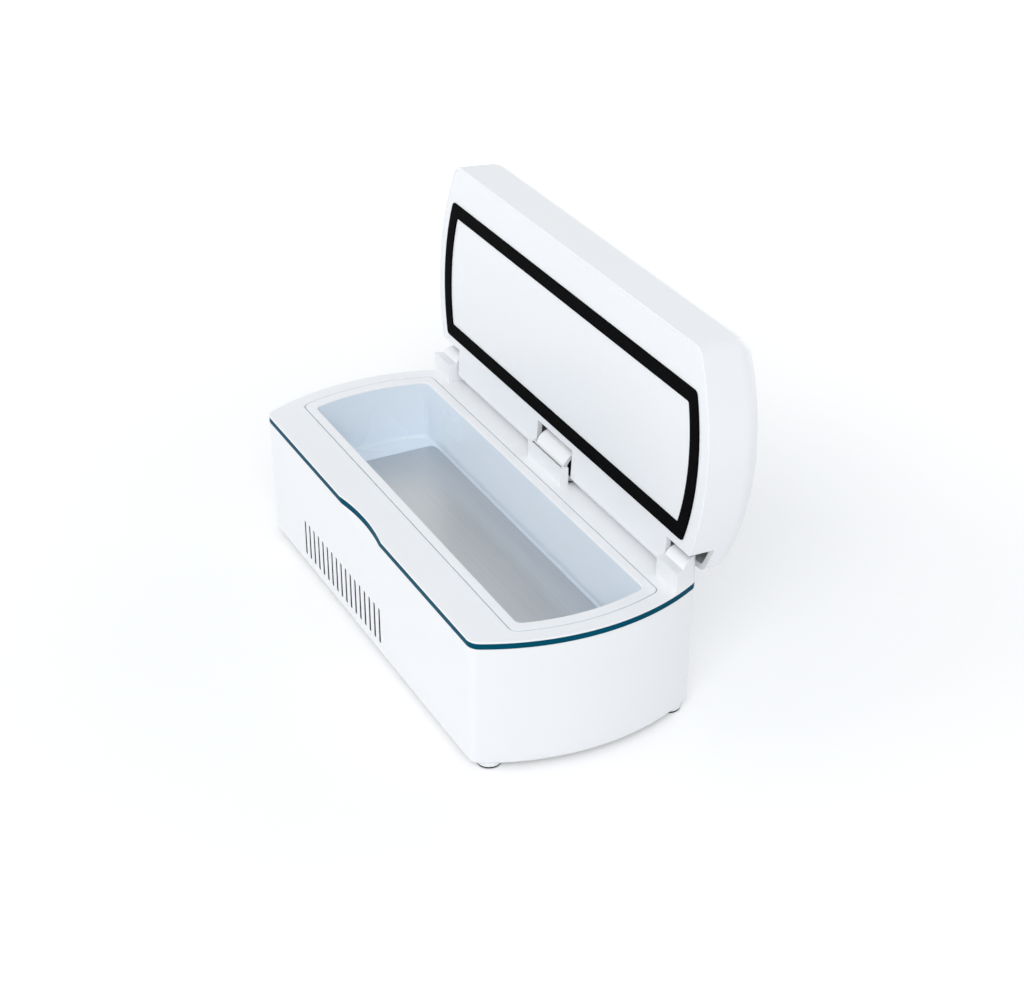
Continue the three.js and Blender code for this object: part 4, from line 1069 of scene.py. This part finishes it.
class CASE_OT_chamber(bpy.types.Operator):
    """Tray of the chamber with its flange, and the metal plate on its floor"""

    bl_idname = "cooling_case.chamber"
    bl_label = "Chamber"

    def execute(self, context):
        body, chamber = context.scene.case_body, context.scene.case_chamber
        floor = body.deck_top - chamber.depth - chamber.plate_thickness
        half_x, half_y = body.half_less(chamber.from_end, chamber.from_side)
        self.tray(chamber, body.deck_top, floor, half_x, half_y)
        self.plate(chamber, floor, half_x - chamber.plate_end_gap, half_y - chamber.plate_side_gap)
        return {"FINISHED"}

    def tray(self, chamber, top, floor, half_x, half_y):
        under, ease = top - chamber.flange_thickness, 0.00015
        outer = chamber.corner + chamber.wall
        mouth, bowl = top - chamber.lip, floor + chamber.cove

        def loop(grow, z, corner=chamber.corner, squeeze=0.0):
            return bulged_outline(half_x + grow, half_y + grow, corner, z, squeeze)

        def flange(z, inset=0.0):
            reach_x, reach_y = half_x + chamber.flange_end, half_y + chamber.flange_side
            return bulged_outline(reach_x - inset, reach_y - inset, chamber.corner, z)

        loops = [loop(chamber.wall, z, outer) for z in (floor - chamber.wall, under)]
        loops += [flange(under), flange(top - ease), flange(top, ease)]
        loops += [loop(inset, mouth + rise) for rise, inset in rounding(chamber.lip, 5)[::-1]]
        loops += [
            loop(0, bowl - rise, squeeze=chamber.draft + inset)
            for rise, inset in rounding(chamber.cove, 6)
        ]
        bm = skin(loops)
        # The tray's top takes the housing white; the walls below keep the liner colour with its
        # painted cool shade.
        mark_second_colour(bm, lambda face: all(vert.co.z > mouth - HAIR for vert in face.verts))
        place(bm, "chamber_tray", "case", "white_liner", "chamber_liner")

    def plate(self, chamber, floor, half_x, half_y):
        low, high, ease = floor + HAIR, floor + chamber.plate_thickness, 0.0003
        bm = rounded_block((-half_x, -half_y, low), (half_x, half_y, high), chamber.corner)
        ease_edges(bm, rim_at(bm, high), ease)
        place(bm, "floor_plate", "case", "aluminium", "cold_plate")


def notch_end():
    """Middle of the case to the notch for a tower."""
    body, hinge, _ = case_sizes()
    return body.length / 2 - hinge.tower_from_end - 2 * hinge.notch_gap


def notch_tools():
    """Room in the lid for the saddle and the two towers."""
    body, hinge, _ = case_sizes()
    line = hinge_line()
    low, back = body.deck_top - PAST, body.width
    middle = hinge.seat + hinge.cheek + hinge.saddle_gap
    saddle = line.y - hinge.saddle_reach - hinge.notch_gap
    tower = line.y - hinge.tower_reach - hinge.notch_gap
    end = notch_end()
    top = line.z + hinge.tower_radius + hinge.notch_gap
    high = line.z + hinge.barrel_radius + hinge.notch_gap
    return together(
        [
            block((-middle, saddle, low), (middle, back, high)),
            block((end, tower, low), (body.length, back, top)),
            block((-body.length, tower, low), (-end, back, top)),
        ]
    )


class CASE_OT_lid_shell(bpy.types.Operator):
    """Domed lid with its hinge barrel, pin bosses, window recess and button hole"""

    bl_idname = "cooling_case.lid_shell"
    bl_label = "Lid Shell"

    def execute(self, context):
        body, hinge, lid = case_sizes()
        rim = body.deck_top + lid.gap
        top = rim + lid.height
        below = top - 2 * lid.wall
        recess = self.window_room(lid, 0.0002, top - lid.window_thickness - SLIP, top + PAST)
        aperture = self.window_room(lid, -lid.window_border, below, top)
        tools = [self.heel(body, hinge), recess, aperture, self.button_hole(lid, below, top)]
        bm = carve(self.shell(lid, rim, top), notch_tools(), *tools)
        # Blank mark layer, so that the barrel's bore keeps its painted shade when it is added.
        bm.faces.layers.float.new(INSIDE)
        self.hinge_parts(bm, body, hinge, lid)
        swing_open(bm)
        place(bm, "lid_moulding", "lid", "white_housing", "lid_shell")
        return {"FINISHED"}

    def shell(self, lid, rim, top):
        """Thin dome, drawn from its ceiling within, round the rim and up to its top outside."""
        ledge, ease = rim + lid.panel + SLIP, 0.0003
        inner_radius = lid.edge_radius - lid.wall
        inner, outer = top - lid.wall - inner_radius, top - lid.edge_radius
        ceiling, foot = rounding(inner_radius, 8)[::-1], rounding(ease, 3)[::-1]
        dome = rounding(lid.edge_radius, 14)
        loops = [body_outline(lid.wall, inner + rise, lid.draft + inset) for rise, inset in ceiling]
        loops += [body_outline(lid.wall, ledge), body_outline(lid.rim, ledge)]
        loops.append(body_outline(lid.rim, rim))
        loops += [body_outline(inset, rim + ease - rise) for rise, inset in foot]
        loops += [body_outline(0, outer + rise, lid.draft + inset) for rise, inset in dome]
        return skin(loops)

    def window_room(self, lid, growth, low, high):
        x, y = lid.window_length / 2 + growth, lid.window_width / 2 + growth
        corner = max(lid.window_corner + growth, LEAST_CORNER)
        return rounded_block((lid.window_x - x, -y, low), (lid.window_x + x, y, high), corner)

    def button_hole(self, lid, low, top):
        bore, mouth = lid.button_radius + SLIP, 0.0003
        profile = [(0, low), (bore, low), (bore, top - mouth)]
        profile += [(bore + 2 * mouth, top + mouth), (0, top + mouth)]
        return lathe(profile, (lid.button_x, 0, 0))

    def heel(self, body, hinge):
        """Cutter that rounds the lower back edge about the hinge line."""
        _, y, z = line = hinge_line()
        low, back, left = body.deck_top - PAST, y + 0.02, -body.length
        return prism(
            start=(left, y, z - hinge.heel_radius),
            centre=line,
            angle=math.pi / 2,
            steps=16,
            axis=ALONG_X,
            corners=[(left, back, z), (left, back, low), (left, y, low)],
            run=(2 * body.length, 0, 0),
        )

    def hinge_parts(self, bm, body, hinge, lid):
        """Middle barrel on its web, and a boss for each pin."""
        line = hinge_line()
        bore, radius = hinge.barrel_bore, hinge.barrel_radius
        half, ease = hinge.barrel_length / 2 - hinge.barrel_play, 0.0003
        profile = [(bore, -half), (radius - ease, -half), (radius, ease - half)]
        profile += [(radius, half - ease), (radius - ease, half), (bore, half)]
        barrel = lathe(profile, line, "X", steps=96)
        # Painted shade on the barrel's bore.
        paint_shade_round_hinge(barrel, bore, half)
        add_shape(bm, barrel)
        low = (HAIR - half, line.y - lid.wall, line.z + bore + HAIR)
        back = body.width / 2 - lid.draft - SLIP
        add_shape(bm, block(low, (half - HAIR, back, line.z + radius + 2 * lid.wall)))
        end, bore, radius = notch_end(), hinge.pin_radius + hinge.play, hinge.boss_radius
        for low, high in ((end - hinge.boss_length, end), (-end, hinge.boss_length - end)):
            profile = [(bore, low), (radius, low), (radius, high), (bore, high)]
            add_shape(bm, lathe(profile, line, "X", steps=40))


class CASE_OT_lid_lining(bpy.types.Operator):
    """Inner panel of the lid with the groove for its gasket, and the soft gasket"""

    bl_idname = "cooling_case.lid_lining"
    bl_label = "Lid Lining"

    def execute(self, context):
        body, _, lid = case_sizes()
        half_x, half_y = body.half_less(lid.gasket_from_end, lid.gasket_from_side)

        def outline(inset, corner, z):
            return bulged_outline(half_x - inset, half_y - inset, corner, z)

        self.panel(lid, body.deck_top + lid.gap, outline)
        self.gasket(lid, body.deck_top + lid.gap, outline)
        return {"FINISHED"}

    def panel(self, lid, face, outline):
        back, groove = face + lid.panel, face + lid.gasket_groove
        seam, ease = lid.rim + HAIR, 0.0001
        levels = [(seam, back), (seam, face + ease), (seam + ease, face)]
        loops = [body_outline(inset, z) for inset, z in levels]
        loops += [outline(-HAIR, lid.gasket_corner, z) for z in (face, groove)]
        loops += [outline(lid.gasket_band + HAIR, LEAST_CORNER, z) for z in (groove, face)]
        bm = carve(skin(loops), notch_tools())
        swing_open(bm)
        place(bm, "lid_panel", "lid", "white_housing", "lid_inner_panel")

    def gasket(self, lid, face, outline):
        ease, corner, band = lid.gasket_proud / 2, lid.gasket_corner, lid.gasket_band
        root, crown = face + lid.gasket_groove - HAIR, face - lid.gasket_proud + ease
        edge = rounding(ease, 4)
        loops = [outline(0, corner, root)]
        loops += [outline(inset, corner - inset, crown - rise) for rise, inset in edge]
        loops += [outline(band - inset, LEAST_CORNER, crown - rise) for rise, inset in edge[::-1]]
        loops.append(outline(band, LEAST_CORNER, root))
        bm = skin(loops, ring=True)
        swing_open(bm)
        place(bm, "gasket_strip", "lid", "gasket", "lid_gasket")


class CASE_OT_lid_controls(bpy.types.Operator):
    """Display window and dished button in the top of the lid"""

    bl_idname = "cooling_case.lid_controls"
    bl_label = "Lid Controls"

    def execute(self, context):
        body, _, lid = case_sizes()
        top = body.deck_top + lid.gap + lid.height
        self.window(lid, top)
        self.button(lid, top)
        return {"FINISHED"}

    def window(self, lid, top):
        x, y, ease = lid.window_length / 2, lid.window_width / 2, 0.00025
        low = (lid.window_x - x, -y, top - lid.window_thickness)
        bm = rounded_block(low, (lid.window_x + x, y, top), lid.window_corner)
        ease_edges(bm, rim_at(bm, top), ease)
        mark = bm.faces.layers.float.new(INSIDE)
        face = max(bm.faces, key=lambda one: one.calc_center_median().z + one.calc_area())
        border = 0.8 * lid.window_border
        bmesh.ops.inset_individual(bm, faces=[face], thickness=border, use_even_offset=True)
        face[mark] = 1.0
        swing_open(bm)
        place(bm, "window_lens", "lid", "display_lens", "display_window")

    def button(self, lid, top):
        radius, proud = lid.button_radius, lid.button_proud
        dish, crown, skirt, stem = 0.0003, 0.0012, 0.0013, 0.0006
        flange, under = radius + 0.0015, -lid.wall - SLIP
        face = [(0, dish), (0.4 * radius, 0.9 * dish), (0.66 * radius, 0.5 * dish)]
        face += [(radius - crown, 0.1 * dish), (radius - 0.7 * crown, 0)]
        face += [(radius - 0.35 * crown, 0.00008), (radius - 0.1 * crown, 0.00028)]
        face.append((radius, 0.0006))
        profile = [(reach, proud - drop) for reach, drop in face]
        profile += [(radius, under), (flange, under), (flange, under - skirt)]
        profile += [(radius / 3, under - skirt), (radius / 3, under - skirt - stem)]
        profile.append((0, under - skirt - stem))
        bm = lathe(profile, (lid.button_x, 0, top))
        swing_open(bm)
        place(bm, "button_dished", "button", "button_cap", "power_button")


class CASE_OT_feet(bpy.types.Operator):
    """Four round rubber pads with a shallow hollow underneath"""

    bl_idname = "cooling_case.feet"
    bl_label = "Feet"

    def execute(self, context):
        body = context.scene.case_body
        radius, top, hollow = body.foot_diameter / 2 - HAIR, body.pad_height - HAIR, 0.0003
        profile = [(0, hollow), (0.55 * radius, hollow), (0.62 * radius, 0.00022)]
        profile += [(0.66 * radius, 0), (radius - 0.0003, 0), (radius - 0.0001, 0.00005)]
        profile += [(radius, 0.0002), (radius, top), (0, top)]
        for corner, spot in body.foot_places().items():
            pad = lathe(profile, spot, steps=SMALL_ROUND_STEPS)
            place(pad, f"pad_{corner}", "case", "foot_rubber", f"foot_{corner}")
        return {"FINISHED"}


class CASE_OT_power_inlet(bpy.types.Operator):
    """Round power inlet in the back wall, with its centre pin"""

    bl_idname = "cooling_case.power_inlet"
    bl_label = "Power Inlet"

    def execute(self, context):
        body, vents = context.scene.case_body, context.scene.case_vents
        nose = body.width / 2 * body.taper_at(vents.inlet_z) - SLIP
        centre = (vents.inlet_x, nose, vents.inlet_z)
        outer, bore, ease, depth = vents.inlet_radius, vents.inlet_bore, 0.0002, 0.011
        collar, shoulder = outer + 0.0012, -0.003
        profile = [(bore, -depth), (bore, -2 * ease), (bore + ease, 0), (outer - ease, 0)]
        profile += [(outer, -ease), (outer, shoulder), (collar, shoulder), (collar, -depth)]
        ring = lathe(profile, centre, "Y", steps=SMALL_ROUND_STEPS)
        place(ring, "inlet_ring", "case", "dark_plastic", "dc_jack")
        radius, tip, root = vents.inlet_pin, -0.0012, 0.001 - depth
        profile = [(0, tip), (0.6 * radius, tip - 0.0001), (radius, tip - 0.0005)]
        profile += [(radius, root), (0, root)]
        place(lathe(profile, centre, "Y", steps=32), "inlet_pin", "case", "steel")
        return {"FINISHED"}


class CASE_OT_inner_finishes(bpy.types.Operator):
    """Finishes for the solids that keep their own shape"""

    bl_idname = "cooling_case.inner_finishes"
    bl_label = "Inner Finishes"

    def execute(self, context):
        made = finishes()
        for part in frame["record"]["subparts"]:
            solid = frame["nodes"][part["node"]]
            material = made[part["material_slot"]]
            if not solid.material_slots:
                solid.data.materials.append(material)
            for slot in solid.material_slots:
                slot.material = material
        return {"FINISHED"}


class CASE_OT_stage(bpy.types.Operator):
    """White table top, soft lamps and the camera"""

    bl_idname = "cooling_case.stage"
    bl_label = "Stage"

    def execute(self, context):
        context.scene.view_settings.view_transform = "Standard"
        self.floor()
        self.surroundings(context.scene)
        for name, (spot, power) in LAMPS.items():
            self.lamp(name, spot, power)
        self.camera(context.scene)
        return {"FINISHED"}

    def seen(self, wiring):
        """One for what is seen, straight, mirrored or through clear material; nought for light."""
        path = wiring.node("LightPath").outputs
        most = path["Is Camera Ray"]
        for ray in ("Is Glossy Ray", "Is Transmission Ray"):
            most = wiring.node("Math", {0: most, 1: path[ray]}, operation="MAXIMUM").outputs[0]
        return most

    def whitening(self, wiring):
        """Glow of the table top, which grows away from the case and leaves its shadow be."""
        where = wiring.node("TexCoord").outputs["Object"]
        far = wiring.node("VectorMath", {0: where}, operation="LENGTH").outputs["Value"]
        inputs = {**TABLE_GLOW, "Value": far}
        return wiring.node("MapRange", inputs, interpolation_type="SMOOTHSTEP").outputs["Result"]

    def floor(self):
        bm = bmesh.new()
        bmesh.ops.create_grid(bm, x_segments=1, y_segments=1, size=TABLE_HALF)
        shift(bm, (0, 0, -HAIR))
        mesh = meshed(bm, "table_top")
        floor = show("table_top", mesh)
        material = bpy.data.materials.new("table_top")
        wiring = Wiring(material)
        lift = {0: self.seen(wiring), 1: self.whitening(wiring)}
        strength = wiring.node("Math", lift, operation="MULTIPLY").outputs[0]
        paint = wiring.node("BsdfDiffuse", {"Color": TABLE_PAINT}).outputs[0]
        glow = wiring.node("Emission", {"Strength": strength}).outputs[0]
        both = wiring.node("AddShader", {0: paint, 1: glow}).outputs[0]
        wiring.node("OutputMaterial", {"Surface": both})
        mesh.materials.append(material)

    def surroundings(self, scene):
        scene.world = bpy.data.worlds.new("studio")
        wiring = Wiring(scene.world)
        light, sight = (wiring.node("Background", sky).outputs[0] for sky in (SKY, SEEN_SKY))
        pick = wiring.node("MixShader", {"Fac": self.seen(wiring), 1: light, 2: sight})
        wiring.node("OutputWorld", {"Surface": pick.outputs[0]})

    def lamp(self, name, spot, power):
        data = bpy.data.lights.new(name, "AREA")
        data.shape = "SQUARE"
        data.size = LAMP_SIDE
        data.energy = power
        lamp = show(name, data)
        lamp.location = spot
        lamp.rotation_euler = (LAMP_AIM - lamp.location).to_track_quat("-Z", "Y").to_euler()

    def camera(self, scene):
        data = bpy.data.cameras.new("view")
        data.sensor_fit = "HORIZONTAL"
        data.sensor_width = CAMERA_SENSOR
        data.lens = CAMERA_LENS
        data.clip_start = CAMERA_NEAR
        camera = show("view", data)
        turned = Matrix(CAMERA_AXES).transposed().to_4x4()
        camera.matrix_world = Matrix.Translation(CAMERA_PLACE) @ turned
        scene.camera = camera


class CASE_PT_panel(bpy.types.Panel):
    """Sizes, colours and build steps of the cooling case"""

    bl_idname = "CASE_PT_panel"
    bl_label = "Cooling Case"
    bl_space_type = "VIEW_3D"
    bl_region_type = "UI"
    bl_category = "Cooling Case"

    def draw(self, context):
        for name, group in GROUPS.items():
            box = self.layout.box()
            box.label(text=group.__doc__)
            for prop in group.__annotations__:
                box.prop(getattr(context.scene, name), prop)
        for step in STEPS:
            self.layout.operator(step.bl_idname)


GROUPS = {
    "case_body": BodySizes,
    "case_vents": VentSizes,
    "case_chamber": ChamberSizes,
    "case_hinge": HingeSizes,
    "case_lid": LidSizes,
    "case_finish": Finishes,
}
STEPS = (
    CASE_OT_stage,
    CASE_OT_inner_finishes,
    CASE_OT_lower_housing,
    CASE_OT_trim_band,
    CASE_OT_top_deck,
    CASE_OT_chamber,
    CASE_OT_lid_shell,
    CASE_OT_lid_lining,
    CASE_OT_lid_controls,
    CASE_OT_feet,
    CASE_OT_power_inlet,
)


def register():
    for part in (*GROUPS.values(), *STEPS, CASE_PT_panel):
        bpy.utils.register_class(part)
    for name, group in GROUPS.items():
        setattr(bpy.types.Scene, name, PointerProperty(type=group))


def unregister():
    for name in GROUPS:
        delattr(bpy.types.Scene, name)
    for part in (CASE_PT_panel, *reversed(STEPS), *reversed(GROUPS.values())):
        bpy.utils.unregister_class(part)


def main():
    register()
    for step in STEPS:
        family, name = step.bl_idname.split(".")
        getattr(getattr(bpy.ops, family), name)()


if __name__ == "__main__":
    main()
